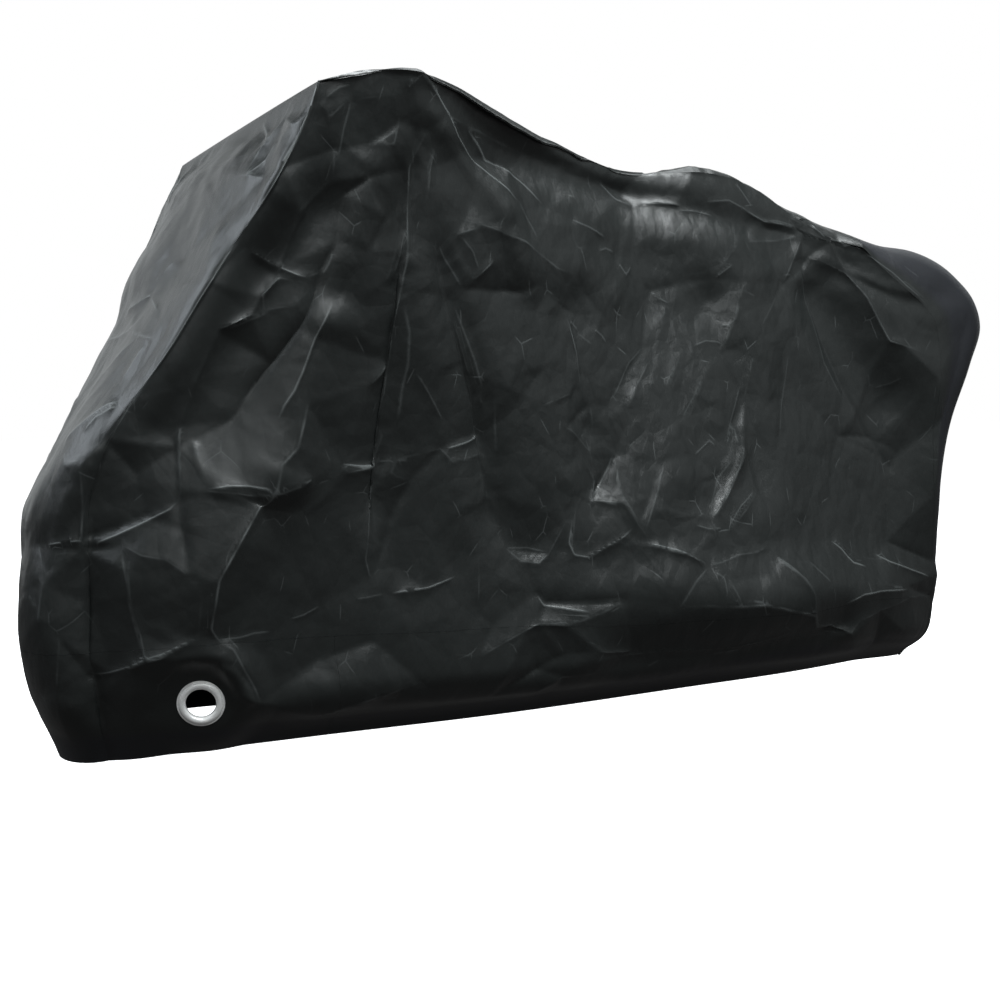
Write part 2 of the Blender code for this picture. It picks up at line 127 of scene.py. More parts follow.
@dataclass(frozen=True)
class Strew:
    """A patch of small creases strewn about a place, most of them on one heading."""

    x: float
    z: float
    reach_x: float
    reach_z: float
    count: int
    heading: float
    spread: float
    length: float
    rise: float

    SCATTER: ClassVar[float] = 0.6                          # share of the reach and spread
    LENGTHS: ClassVar[tuple[float, float]] = (0.4, 1.5)     # shares of the length
    RISES: ClassVar[tuple[float, float]] = (0.35, 1.1)      # shares of the rise
    SIGNS: ClassVar[tuple[float, ...]] = (-1.0, 1.0, 1.0)   # two ridges to one groove
    BEND: ClassVar[float] = 0.10                            # most, as a share of the length
    SLIMNESS: ClassVar[float] = 0.16                        # half-width over length
    LEAST_WIDTH: ClassVar[float] = 0.002                    # added to every half-width
    LAPPED_SHARE: ClassVar[float] = 0.5


class Patch(NamedTuple):
    """A soft-edged place where the cloth is more crumpled, or less, than elsewhere."""

    x: float
    z: float
    reach_x: float
    reach_z: float
    weight: float


@dataclass(frozen=True)
class Crumple:
    """A layer of flat facets: their size, how far their corners stand out, their seed."""

    cell: float
    rise: float
    seed: int

    WANDER: ClassVar[float] = 0.38          # how far, in cells, chance moves a corner
    SEEDS_A_SIDE: ClassVar[int] = 100       # keeps the seeds of the layers apart


class EyeletPlace(NamedTuple):
    """Where an eyelet's centre lies on the cloth and the way it faces, in degrees."""

    name: str
    side: int
    x: float
    y: float
    z: float
    yaw: float
    dip: float


# ------------------------------------------------------------------ the smooth skin
FRONT_SECTIONS = (
    Section(-0.537, -0.280, 1.123, -0.545, 1.097, -0.571, 0.260, 1.055),
    Section(-0.566, -0.265, 1.039, -0.600, 1.030, -0.600, 0.252, 1.005),
    Section(-0.608, -0.245, 0.956, -0.650, 0.950, -0.648, 0.230, 0.915),
    Section(-0.646, -0.225, 0.892, -0.690, 0.885, -0.672, 0.215, 0.860),
    Section(-0.687, -0.200, 0.820, -0.716, 0.815, -0.705, 0.188, 0.790),
    Section(-0.734, -0.175, 0.735, -0.757, 0.730, -0.760, 0.150, 0.705),
    Section(-0.785, -0.145, 0.655, -0.811, 0.650, -0.800, 0.120, 0.640),
    Section(-0.820, -0.120, 0.580, -0.858, 0.580, -0.820, 0.110, 0.580),
    Section(-0.838, -0.107, 0.504, -0.900, 0.504, -0.838, 0.107, 0.504),
    Section(-0.840, -0.105, 0.430, -0.916, 0.430, -0.840, 0.105, 0.430),
    Section(-0.840, -0.105, 0.350, -0.920, 0.350, -0.840, 0.105, 0.350),
    Section(-0.840, -0.103, 0.280, -0.915, 0.280, -0.840, 0.103, 0.280),
    Section(-0.830, -0.100, 0.210, -0.901, 0.210, -0.830, 0.100, 0.210),
    Section(-0.820, -0.090, 0.153, -0.880, 0.150, -0.820, 0.090, 0.153),
    Section(-0.810, -0.080, 0.112, -0.864, 0.106, -0.810, 0.080, 0.112),
)

TOP_SECTIONS = (
    Section(-0.537, -0.280, 1.123, -0.545, 1.097, -0.571, 0.260, 1.055),
    Section(-0.465, -0.294, 1.142, -0.485, 1.115, -0.530, 0.285, 1.068),
    Section(-0.393, -0.300, 1.146, -0.430, 1.120, -0.490, 0.300, 1.078),
    Section(-0.327, -0.270, 1.140, -0.370, 1.118, -0.420, 0.285, 1.083),
    Section(-0.201, -0.210, 1.115, -0.240, 1.100, -0.270, 0.225, 1.080),
    Section(-0.078, -0.150, 1.086, -0.100, 1.080, -0.110, 0.155, 1.066),
    Section(0.018, -0.112, 1.064, 0.010, 1.066, 0.010, 0.112, 1.055),
    Section(0.091, -0.088, 1.052, 0.090, 1.058, 0.090, 0.088, 1.048),
    Section(0.183, -0.078, 1.049, 0.183, 1.057, 0.183, 0.078, 1.046),
    Section(0.301, -0.074, 1.050, 0.300, 1.060, 0.301, 0.074, 1.047),
    Section(0.372, -0.070, 1.043, 0.375, 1.053, 0.372, 0.070, 1.040),
    Section(0.469, -0.074, 1.000, 0.475, 1.016, 0.469, 0.074, 0.998),
    Section(0.520, -0.083, 0.975, 0.540, 0.998, 0.520, 0.083, 0.975),
    Section(0.577, -0.100, 0.945, 0.585, 0.983, 0.577, 0.100, 0.945),
    Section(0.629, -0.115, 0.930, 0.629, 0.966, 0.629, 0.115, 0.930),
)

REAR_SECTIONS = (
    Section(0.629, -0.115, 0.930, 0.629, 0.966, 0.629, 0.115, 0.930),
    Section(0.660, -0.120, 0.905, 0.720, 0.948, 0.660, 0.120, 0.905),
    Section(0.700, -0.125, 0.875, 0.820, 0.940, 0.700, 0.125, 0.875),
    Section(0.735, -0.130, 0.850, 0.884, 0.922, 0.735, 0.130, 0.850),
    Section(0.772, -0.130, 0.826, 0.938, 0.892, 0.772, 0.130, 0.826),
    Section(0.800, -0.135, 0.795, 0.984, 0.850, 0.800, 0.135, 0.795),
    Section(0.810, -0.135, 0.755, 1.008, 0.795, 0.810, 0.135, 0.755),
    Section(0.812, -0.140, 0.700, 0.972, 0.715, 0.812, 0.140, 0.700),
    Section(0.806, -0.140, 0.600, 0.906, 0.600, 0.806, 0.140, 0.600),
    Section(0.802, -0.140, 0.500, 0.873, 0.500, 0.802, 0.140, 0.500),
    Section(0.811, -0.130, 0.400, 0.866, 0.400, 0.811, 0.130, 0.400),
    Section(0.815, -0.120, 0.310, 0.868, 0.310, 0.815, 0.120, 0.310),
    Section(0.818, -0.105, 0.246, 0.868, 0.240, 0.818, 0.105, 0.246),
    Section(0.810, -0.080, 0.176, 0.850, 0.172, 0.810, 0.080, 0.176),
    Section(0.795, -0.050, 0.130, 0.820, 0.124, 0.795, 0.050, 0.130),
)

HEM_LINE = (
    HemPoint(-0.810, -0.080, 0.112),
    HemPoint(-0.774, -0.120, 0.118),
    HemPoint(-0.693, -0.158, 0.126),
    HemPoint(-0.467, -0.165, 0.128),
    HemPoint(-0.169, -0.160, 0.127),
    HemPoint(0.216, -0.150, 0.133),
    HemPoint(0.491, -0.130, 0.135),
    HemPoint(0.671, -0.095, 0.135),
    HemPoint(0.795, -0.050, 0.130),
)

EYELETS = (
    EyeletPlace("eyelet_near", -1, -0.697, -0.184, 0.209, -22.0, -9.0),
    EyeletPlace("eyelet_far", 1, -0.697, 0.184, 0.209, -22.0, -9.0),
)

# ------------------------------------------------------------------ main folds
# These are the folds of the solids: side view, metres from the ground.
NEAR_MAIN_FOLDS = (
    Fold(0.070, -0.045, ((-0.500, 1.043), (-0.620, 0.865), (-0.716, 0.714), (-0.800, 0.540))),
    Fold(0.050, 0.018, ((-0.500, 0.830), (-0.548, 0.662), (-0.600, 0.500))),
    Fold(0.030, -0.016, ((-0.392, 1.080), (-0.404, 0.827), (-0.417, 0.661), (-0.439, 0.413))),
    Fold(0.034, -0.014, ((-0.354, 0.977), (-0.319, 0.829), (-0.252, 0.658), (-0.201, 0.397))),
    Fold(0.030, 0.012, ((-0.393, 1.120), (-0.276, 1.044), (-0.190, 0.960), (-0.120, 0.800))),
    Fold(0.035, -0.016, ((-0.300, 1.090), (-0.010, 1.020), (0.264, 0.980), (0.560, 0.925))),
    Fold(0.050, 0.018, ((-0.153, 0.327), (0.216, 0.310), (0.607, 0.300), (0.780, 0.280))),
    Fold(0.040, -0.018, ((-0.064, 0.224), (0.279, 0.219), (0.609, 0.240))),
    Fold(0.060, -0.022, ((0.514, 0.900), (0.604, 0.758), (0.740, 0.600))),
    Fold(0.070, 0.014, ((0.050, 0.900), (0.100, 0.700), (0.200, 0.450))),
    Fold(0.050, -0.012, ((-0.060, 0.880), (-0.040, 0.650), (0.000, 0.420))),
    Fold(0.045, -0.014, ((0.250, 0.900), (0.330, 0.650), (0.350, 0.420))),
)

FAR_MAIN_FOLDS = (
    Fold(0.070, -0.035, ((-0.530, 0.980), (-0.640, 0.830), (-0.780, 0.560))),
    Fold(0.040, -0.016, ((-0.470, 1.000), (-0.460, 0.750), (-0.480, 0.450))),
    Fold(0.045, -0.014, ((-0.330, 0.980), (-0.250, 0.700), (-0.180, 0.420))),
    Fold(0.035, -0.014, ((-0.300, 1.030), (0.000, 1.000), (0.300, 0.980), (0.560, 0.920))),
    Fold(0.050, 0.016, ((-0.300, 0.320), (0.100, 0.300), (0.600, 0.300))),
    Fold(0.060, -0.018, ((0.500, 0.880), (0.620, 0.740), (0.740, 0.560))),
    Fold(0.060, 0.014, ((0.060, 0.880), (0.120, 0.650), (0.180, 0.400))),
)

# ------------------------------------------------------------------ creases
# Short creases of the near side: the rise, the half-width in millimetres, then the path as
# (x, z) pairs in side view, also in millimetres.  A rise below zero is a groove.  They were
# drawn over the photograph and brought to millimetres by a separate program.
STROKES = (
    (2.2, 5, -36, 954, 11, 942, 50, 928), (1.8, 4, 26, 905, 47, 911, 70, 905),
    (2.2, 4, 79, 889, 96, 870, 110, 886), (2, 4, 153, 842, 171, 829, 189, 821),
    (1, 4, 179, 817, 178, 803, 168, 794), (1.2, 4, 293, 885, 315, 903, 342, 926),
    (2.2, 4, 287, 867, 305, 878, 326, 891), (2, 4, 337, 821, 328, 792, 314, 783, 295, 780),
    (1.8, 4, 228, 745, 259, 754, 285, 751, 298, 746), (1.2, 4, 298, 746, 311, 760, 323, 785),
    (1.6, 5, 124, 745, 84, 716, 57, 673, 42, 653), (1.2, 4, 128, 717, 96, 678, 69, 635),
    (1.5, 5, 197, 724, 168, 689, 157, 672), (1.2, 4, 241, 689, 216, 654, 184, 616),
    (1.8, 5, 361, 728, 351, 688, 339, 652), (1.6, 5, 332, 676, 319, 649, 300, 614, 283, 579),
    (0.9, 4, 439, 843, 411, 811, 387, 784), (1, 5, 458, 739, 445, 684, 427, 630, 414, 576),
    (1.2, 5, 502, 902, 520, 851, 538, 804, 557, 721, 608, 636), (2, 4, 10, 773, 27, 762, 36, 750),
    (2.2, 4, -46, 788, -30, 776, -23, 770), (1, 4, -25, 766, 6, 746),
    (0.9, 4, 673, 669, 701, 675, 724, 686),
    (2.4, 4, 627, 927, 644, 916, 667, 905, 702, 885, 731, 861, 760, 843, 785, 824),
    (2, 4, 279, 1005, 335, 1008, 367, 998, 395, 985, 424, 974), (1.8, 4, 356, 1040, 372, 1024, 393, 998),
    (1.6, 5, 424, 974, 449, 977, 494, 969), (-5, 7, 414, 962, 459, 959, 499, 951),
    (2, 4, 532, 976, 540, 963, 557, 948), (2, 4, 563, 945, 594, 941), (1.6, 4, 590, 932, 616, 940),
    (2.2, 5, 150, 993, 195, 993, 227, 993), (2, 5, 218, 978, 259, 982, 302, 976),
    (2, 5, -18, 475, 8, 500, 31, 537, 41, 564), (1.4, 4, 41, 559, 48, 490, 72, 438),
    (1.6, 5, -18, 475, 9, 472, 39, 468), (1.6, 5, 138, 544, 124, 505, 107, 471, 83, 425),
    (2.2, 4, 205, 553, 230, 568, 245, 578, 258, 567), (1.8, 4, 302, 605, 282, 570),
    (1.8, 4, 304, 605, 306, 569), (1.6, 5, 323, 554, 294, 525, 263, 482, 237, 439),
    (1.2, 4, 291, 548, 255, 512, 237, 474, 228, 439), (2.2, 4, 333, 482, 293, 457, 273, 434, 263, 420),
    (2.2, 4, 191, 430, 220, 422, 250, 422),
    (4, 6, -60, 453, -67, 412, -57, 391, -29, 384, 8, 402, 41, 417, 63, 433),
    (1.8, 5, -186, 412, -143, 411, -105, 401), (5.5, 8, 86, 401, 116, 393, 151, 381, 183, 363, 206, 352),
    (1.4, 4, 206, 352, 240, 357, 282, 370, 322, 373, 351, 385), (1.4, 4, 205, 349, 175, 330, 138, 303),
    (2, 5, 358, 362, 387, 339, 414, 323, 434, 304), (1.6, 4, 442, 352, 461, 334, 490, 312),
    (1.8, 5, 431, 295, 462, 262, 508, 253, 539, 231, 554, 218),
    (5.5, 8, 522, 388, 545, 372, 572, 345, 608, 335), (6.5, 8, 641, 359, 682, 337, 746, 315, 806, 297),
    (6, 9, 530, 281, 581, 288, 649, 287, 726, 281), (4.5, 8, -129, 336, -115, 317, -75, 311, -29, 305),
    (1.6, 5, -130, 288, -74, 291, -19, 301, 29, 315), (1.4, 4, 278, 219, 342, 237, 403, 255),
    (1.6, 4, 216, 341, 234, 332, 236, 309),
    (4.5, 7, -504, 810, -520, 780, -534, 751, -550, 707, -563, 677, -577, 655, -586, 632),
    (2, 5, -712, 618, -718, 559, -722, 515), (-6, 7, -718, 603, -723, 545, -722, 486, -717, 426),
    (1.6, 4, -693, 603, -691, 566, -687, 530),
    (6, 7, -687, 530, -658, 538, -629, 543, -604, 544, -592, 541),
    (1.4, 4, -592, 538, -568, 546, -546, 549),
    (5.5, 8, -838, 446, -820, 456, -789, 473, -756, 491, -736, 502, -725, 514),
    (1.4, 5, -800, 449, -795, 419, -789, 382, -790, 367, -784, 330, -776, 293),
    (4, 6, -844, 250, -817, 257, -787, 271, -770, 282, -748, 290, -721, 304, -703, 313),
    (2, 5, -668, 308, -648, 309, -624, 314, -595, 314), (2.4, 5, -564, 330, -542, 334, -515, 346),
    (1.4, 4, -457, 352, -432, 354, -409, 357), (5.5, 8, -399, 357, -370, 359, -334, 361, -283, 375),
    (1.6, 4, -674, 304, -656, 289, -643, 261, -627, 234, -614, 204),
    (1.2, 4, -672, 275, -661, 244, -655, 229), (5, 7, -490, 567, -458, 562, -424, 563, -405, 565),
    (1.4, 4, -405, 565, -389, 566, -367, 567), (5, 7, -305, 583, -268, 591, -228, 606),
    (1.8, 5, -301, 562, -257, 566, -218, 575), (1.6, 3.5, -363, 709, -342, 677, -311, 629),
    (-8, 9, -388, 814, -389, 737, -389, 659, -391, 596, -401, 541, -413, 479, -428, 410),
    (1.6, 5, -380, 814, -372, 768, -372, 721, -377, 682, -381, 627),
    (1.6, 4, -288, 816, -264, 769, -244, 729, -225, 681),
    (1.4, 4, -655, 768, -633, 774, -608, 783, -592, 792), (1.8, 5, -405, 752, -425, 721, -450, 694),
    (1.2, 4, -466, 190, -430, 200, -396, 208, -370, 214),
    (7.5, 9, -375, 1144, -339, 1119, -307, 1093, -286, 1065, -251, 1039, -216, 1012, -180, 987, -149, 974),
    (4.5, 7, -266, 1084, -233, 1061, -209, 1042, -171, 1033, -138, 1012, -94, 975),
    (1.4, 4, -397, 1137, -402, 1118), (1.6, 4, -527, 1100, -506, 1116, -489, 1121),
    (1.2, 4, -499, 1094, -520, 1072), (4.5, 7, -630, 881, -605, 872, -576, 857, -550, 845, -537, 843),
    (2, 4, -520, 847, -511, 863, -504, 881), (-7, 9, -378, 1078, -374, 1007, -376, 941, -373, 874),
    (1.6, 4, -352, 972, -347, 1009, -336, 1039), (1.6, 4, -488, 1099, -498, 1056, -505, 1013),
    (1.4, 4, -413, 1060, -437, 1044, -463, 1036), (1.6, 4, -416, 858, -397, 896, -384, 926),
    (1.6, 4, -326, 907, -297, 870, -277, 839), (1.4, 4, -286, 916, -264, 894, -251, 866),
    (-5.5, 9, -274, 816, -240, 737, -215, 656, -193, 574, -189, 492, -181, 418),
    (1.2, 4, -154, 978, -129, 940, -117, 917), (6.1, 7, -636, 1081, -595, 1066, -571, 1060),
    (7.4, 8, -621, 1045, -649, 1024, -670, 1003, -687, 992),
    (6.8, 7, -854, 879, -882, 858, -901, 838, -919, 828),
    (6.1, 6, -947, 816, -906, 768, -853, 756, -768, 751), (6.8, 7, -997, 1065, -977, 1039, -967, 1020),
    (6.8, 7, -1046, 1008, -973, 993, -926, 979), (6.1, 7, -811, 655, -846, 632, -861, 609),
    (2.2, 4, -893, 579, -875, 564, -848, 571), (1.9, 4, -1053, 767, -934, 760, -843, 755),
    (6.8, 8, -910, 447, -883, 451, -860, 454, -847, 454),
    (9.5, 8, -843, 755, -880, 734, -919, 703, -948, 669, -993, 640, -1011, 622),
    (8.1, 7, -808, 665, -842, 647, -871, 623, -915, 590), (-8.1, 7, -965, 769, -830, 755, -740, 746),
    (8.1, 7, -940, 838, -868, 814, -813, 794),
    (10.8, 9, -536, 1209, -638, 1100, -658, 1068, -674, 1051, -680, 1023, -686, 995),
    (8.1, 6, -743, 1092, -699, 1070, -668, 1052), (6.8, 7, -806, 744, -823, 718, -837, 689),
    (6.8, 6, -1078, 885, -979, 886, -896, 878),
)

# So many units of a short crease's rise make one metre.
STROKE_RISES_A_METRE = 2200.0

FAR_STREWS = (
    Strew(0.050, 0.650, 0.450, 0.250, 26, 65.0, 60.0, 0.060, 0.0012),
    Strew(-0.450, 0.600, 0.250, 0.250, 18, 75.0, 60.0, 0.060, 0.0011),
    Strew(0.300, 0.330, 0.350, 0.080, 12, 150.0, 60.0, 0.050, 0.0011),
)

NEAR_PATCHES = (
    Patch(0.100, 0.650, 0.380, 0.280, 0.45),
    Patch(-0.420, 0.850, 0.160, 0.180, 0.25),
    Patch(-0.640, 0.760, 0.110, 0.200, -0.30),
    Patch(0.880, 0.700, 0.120, 0.300, -0.35),
    Patch(0.250, 0.350, 0.300, 0.070, 0.30),
)

FAR_PATCHES = (
    Patch(0.050, 0.650, 0.400, 0.300, 0.35),
    Patch(-0.640, 0.760, 0.150, 0.200, -0.20),
)

FAR_NET_SHARE = 0.85
NEAR_SEED = 1
FAR_SEED = 2

CRUMPLES = (
    Crumple(0.090, 0.0034, 11),
    Crumple(0.043, 0.0015, 12),
    Crumple(0.021, 0.0006, 13),
)

# Corners of the crease net: (x, z) in millimetres, and how far each stands out in tenths of
# one.  The creases were drawn over the photograph.  A separate program brought them
# to millimetres and strewed some corners between them.  Another one fitted how far each
# corner stands out, so that the facets come out as light and dark as in the photograph.
NET_CORNERS = (
    (-980, 441, -49), (-914, 430, -9), (-888, 449, -42), (-851, 456, 0), (-806, 473, -63),
    (-769, 492, -35), (-726, 509, 97), (-704, 519, 166), (-687, 528, 227), (-668, 527, 288),
    (-632, 529, 350), (-593, 539, 400), (-546, 549, 355), (-848, 439, 0), (-801, 450, 14),
    (-771, 434, 152), (-742, 429, 210), (-715, 407, 248), (-712, 623, 128), (-717, 590, 126),
    (-721, 527, 116), (-718, 470, 158), (-696, 390, 278), (-703, 311, 201), (-697, 601, 107),
    (-691, 562, 175), (-681, 519, 241), (-688, 440, 281), (-647, 634, -17), (-614, 662, -37),
    (-546, 662, 167), (-565, 597, 292), (-587, 568, 315), (-621, 503, 401), (-648, 453, 389),
    (-676, 396, 329), (-686, 325, 229), (-678, 309, 204), (-846, 253, 0), (-833, 245, 0),
    (-814, 257, 27), (-787, 268, 110), (-770, 277, 160), (-748, 284, 182), (-723, 300, 189),
    (-656, 311, 170), (-625, 318, 149), (-597, 311, 140), (-566, 324, 133), (-533, 335, 117),
    (-512, 346, 119), (-789, 413, 135), (-788, 376, 139), (-785, 348, 123), (-777, 316, 121),
    (-648, 279, 175), (-672, 273, 216), (-656, 227, 400), (-648, 262, 170), (-628, 230, 124),
    (-619, 207, 145), (-909, 390, 66), (-912, 336, 138), (-883, 308, 93), (-885, 232, 130),
    (-850, 234, 32), (-829, 219, 0), (-791, 177, 26), (-764, 150, 11), (-831, 204, 0), (-805, 146, 46),
    (-848, 563, 40), (-848, 502, 0), (-887, 562, 70), (-816, 605, 0), (-787, 655, 0), (-398, 676, 400),
    (-408, 633, 400), (-397, 607, 397), (-409, 566, 399), (-413, 521, 400), (-430, 475, 336),
    (-439, 412, 205), (-432, 387, 175), (-381, 690, 400), (-379, 618, 400), (-380, 571, 377),
    (-389, 546, 384), (-365, 531, 334), (-392, 474, 247), (-411, 410, 167), (-488, 564, 382),
    (-457, 566, 373), (-312, 584, 381), (-276, 597, 361), (-222, 608, 362), (-478, 553, 400),
    (-294, 561, 400), (-223, 573, 391), (-230, 689, 400), (-221, 652, 394), (-203, 546, 400),
    (-187, 500, 368), (-193, 448, 267), (-191, 429, 237), (-210, 689, 398), (-202, 622, 400),
    (-196, 576, 400), (-188, 523, 382), (-154, 639, 401), (-113, 650, 400), (-66, 664, 379),
    (-18, 664, 300), (-72, 609, 400), (-3, 646, 267), (2, 613, 288), (-7, 566, 377), (-36, 586, 400),
    (-1, 515, 377), (-16, 473, 390), (46, 561, 264), (48, 474, 400), (71, 435, 400), (-19, 543, 400),
    (-41, 486, 400), (-54, 472, 377), (-60, 403, 277), (-29, 382, 269), (26, 406, 364),
    (-182, 410, 221), (-143, 406, 195), (-104, 398, 248), (-72, 450, 328), (-157, 390, 228),
    (-123, 384, 245), (-403, 352, 196), (-385, 352, 222), (-344, 365, 258), (-306, 366, 281),
    (-276, 377, 263), (-409, 367, 188), (-240, 399, 273), (-242, 332, 247), (-243, 314, 252),
    (-218, 293, 257), (-244, 246, 336), (-130, 339, 211), (-112, 321, 204), (-130, 289, 310),
    (-34, 316, 210), (32, 316, 210), (-295, 254, 338), (-157, 280, 319), (-79, 287, 311),
    (-28, 298, 269), (-514, 181, 400), (-470, 192, 392), (-396, 207, 384), (-352, 218, 335),
    (-213, 184, 400), (-129, 215, 229), (-81, 234, 297), (-19, 240, 400), (62, 240, 350),
    (-124, 179, 400), (-79, 198, 327), (-17, 196, 400), (87, 415, 401), (89, 396, 400),
    (130, 382, 400), (171, 372, 400), (204, 350, 365), (165, 325, 330), (136, 304, 319),
    (135, 548, 170), (104, 486, 338), (143, 528, 211), (120, 465, 384), (304, 608, 74),
    (288, 568, 111), (317, 561, 183), (251, 516, 161), (231, 440, 347), (232, 407, 378),
    (265, 475, 284), (342, 479, 244), (266, 418, 345), (305, 372, 321), (347, 386, 262),
    (226, 337, 357), (232, 309, 371), (244, 328, 350), (331, 330, 294), (318, 298, 400),
    (268, 298, 400), (346, 354, 271), (441, 280, 400), (435, 303, 337), (369, 360, 252),
    (459, 260, 400), (503, 256, 343), (559, 219, 354), (580, 245, 254), (636, 254, 139),
    (733, 266, 131), (820, 256, 49), (447, 352, 157), (495, 311, 173), (480, 432, -15),
    (522, 397, -57), (547, 365, -54), (576, 343, -67), (613, 345, -110), (597, 354, -111),
    (652, 346, -149), (814, 299, 49), (629, 361, -160), (690, 373, -233), (807, 328, -46),
    (521, 292, 188), (536, 312, 97), (625, 301, -3), (726, 286, 75), (236, 221, 381), (325, 235, 400),
    (408, 252, 400), (236, 198, 400), (298, 203, 400), (630, 628, -311), (658, 584, -399),
    (733, 543, -364), (576, 582, -370), (654, 554, -401), (713, 513, -398), (428, 648, -147),
    (407, 565, -31), (431, 548, -64), (491, 550, -189), (504, 647, -279), (553, 535, -318),
    (538, 459, -169), (57, 1026, -9), (114, 1010, -28), (176, 998, 92), (220, 993, 165), (94, 998, 27),
    (127, 988, 40), (334, 1007, 89), (380, 991, 31), (422, 974, 41), (457, 971, 25), (497, 965, -1),
    (512, 954, -21), (453, 942, -25), (377, 935, 17), (433, 903, -111), (371, 860, -12),
    (454, 862, -192), (421, 819, -115), (511, 901, -184), (534, 826, -199), (555, 769, -244),
    (603, 674, -317), (564, 941, 0), (595, 927, 0), (521, 916, -136), (598, 884, 34), (639, 837, 58),
    (688, 756, 75), (716, 748, 65), (793, 727, -19), (615, 943, 0), (657, 914, -39), (717, 881, -43),
    (790, 829, -47), (805, 780, -54), (804, 687, -29), (285, 867, 45), (336, 924, 94),
    (153, 842, -152), (187, 820, -70), (337, 831, 28), (325, 790, 52), (295, 781, 83), (298, 744, 94),
    (261, 753, 46), (227, 744, 15), (81, 888, -66), (98, 869, -111), (110, 885, -106),
    (120, 740, -104), (75, 696, -25), (42, 653, 120), (101, 682, 10), (70, 634, 117), (204, 735, 0),
    (162, 668, 41), (154, 704, -14), (106, 660, 50), (246, 690, 67), (205, 624, 80), (180, 611, 86),
    (362, 726, -30), (341, 648, 71), (254, 578, 78), (203, 552, 108), (459, 735, -199),
    (436, 666, -169), (694, 533, -401), (-380, 1143, 0), (-341, 1126, -41), (-310, 1094, -97),
    (-238, 1043, -208), (-184, 991, 12), (-135, 964, -36), (-91, 943, 63), (-263, 1084, -105),
    (-157, 1036, -127), (-94, 974, -22), (-122, 1054, -90), (-44, 1047, -41), (8, 1044, -43),
    (-356, 1063, -72), (-375, 1031, -1), (-386, 1009, 23), (-383, 946, 167), (-382, 881, 311),
    (-386, 832, 328), (-394, 749, 386), (-336, 1047, -53), (-352, 1011, 10), (-354, 966, 102),
    (-339, 951, 121), (-314, 907, 208), (-274, 838, 282), (-236, 768, 293), (-442, 837, 198),
    (-301, 815, 336), (-215, 833, 179), (-154, 835, 134), (-122, 846, 127), (-278, 940, 100),
    (-208, 929, 197), (-136, 901, 119), (-78, 873, 156), (-34, 864, 128), (23, 799, -4),
    (-75, 816, 202), (-29, 795, 145), (-297, 918, 167), (-254, 930, 146), (-224, 880, 235),
    (-260, 852, 271), (-453, 885, 97), (-412, 894, 214), (-429, 850, 222), (-492, 883, 19),
    (-491, 965, -2), (-455, 990, -68), (-397, 964, 95), (-427, 936, 82), (-424, 1110, -42),
    (-411, 1071, -84), (-419, 1039, -41), (-458, 1037, -126), (-486, 1100, -67), (-523, 851, -14),
    (-502, 889, -3), (-514, 845, -2), (-489, 829, 54), (-500, 806, 47), (-152, 821, 159),
    (-121, 797, 193), (-84, 723, 284), (-49, 679, 348), (-50, 784, 213), (-33, 733, 266),
    (-26, 678, 315), (4, 752, 120), (11, 774, 59), (40, 748, 7), (-365, 716, 400), (-329, 661, 400),
    (-288, 791, 357), (-254, 715, 400), (-227, 670, 401), (-451, 693, 337), (-418, 726, 350),
    (-395, 766, 378), (-535, 1092, 0), (-523, 1083, -12), (-519, 1065, -33), (-501, 1063, -72),
    (-511, 1026, -72), (-508, 984, 40), (-400, 1124, -25), (-633, 883, -41), (-576, 857, 130),
    (-540, 844, 24), (-531, 819, -58), (-560, 768, -108), (-595, 717, -107), (-630, 665, -68),
    (-525, 751, -22), (-543, 716, 25), (-563, 665, 102), (-667, 769, 97), (-617, 787, 124),
    (-598, 793, 90), (-600, 815, 143), (-577, 841, 124), (-534, 831, -20), (-563, 802, 1),
    (-587, 1238, 0), (-740, 1087, -156), (-671, 1046, -90), (-628, 1080, -44), (-696, 998, -13),
    (-574, 1061, 12), (-552, 1079, 0), (-566, 1041, 0), (-587, 1000, 0), (-633, 992, -71),
    (-694, 1035, -50), (-859, 1025, 23), (-869, 1012, 34), (-916, 995, 88), (-977, 1062, -99),
    (-948, 1013, 113), (-1066, 991, 58), (-975, 985, 146), (-991, 957, 138), (-981, 898, -14),
    (-1018, 891, 61), (-883, 888, -211), (-897, 868, -202), (-887, 823, -124), (-809, 797, -76),
    (-801, 754, -3), (-915, 768, 79), (-738, 744, 0), (-824, 871, -271), (-816, 831, -158),
    (-814, 684, 2), (-713, 940, -98), (-427, 285, 188), (-557, 942, 138), (-734, 217, 0),
    (-574, 424, 232), (-679, 154, -188), (105, 162, 400), (-780, 555, -72), (922, 826, -164),
    (-695, 692, 140), (778, 166, 314), (-504, 441, 260), (-278, 481, 391), (4, 943, 32),
    (801, 455, -49), (-285, 177, 396), (-556, 481, 328), (-934, 644, 168), (-687, 836, 0),
    (-331, 438, 317), (478, 178, 380), (-515, 263, 106), (-838, 360, 0), (-612, 377, 192),
    (-871, 145, 244), (632, 468, -352), (825, 602, -95), (-104, 545, 400), (-1250, 1350, 0),
    (-1300, 900, 0), (-1280, 500, 0), (-1200, 50, 0), (-900, 20, 0), (-500, 30, 0), (-100, 30, 0),
    (300, 30, 0), (700, 20, 0), (1050, 20, 0), (1250, 300, 0), (1250, 700, 0), (1200, 1150, 0),
    (800, 1250, 0), (400, 1300, 0), (0, 1380, 0), (-400, 1450, 0), (-800, 1450, 0),
)

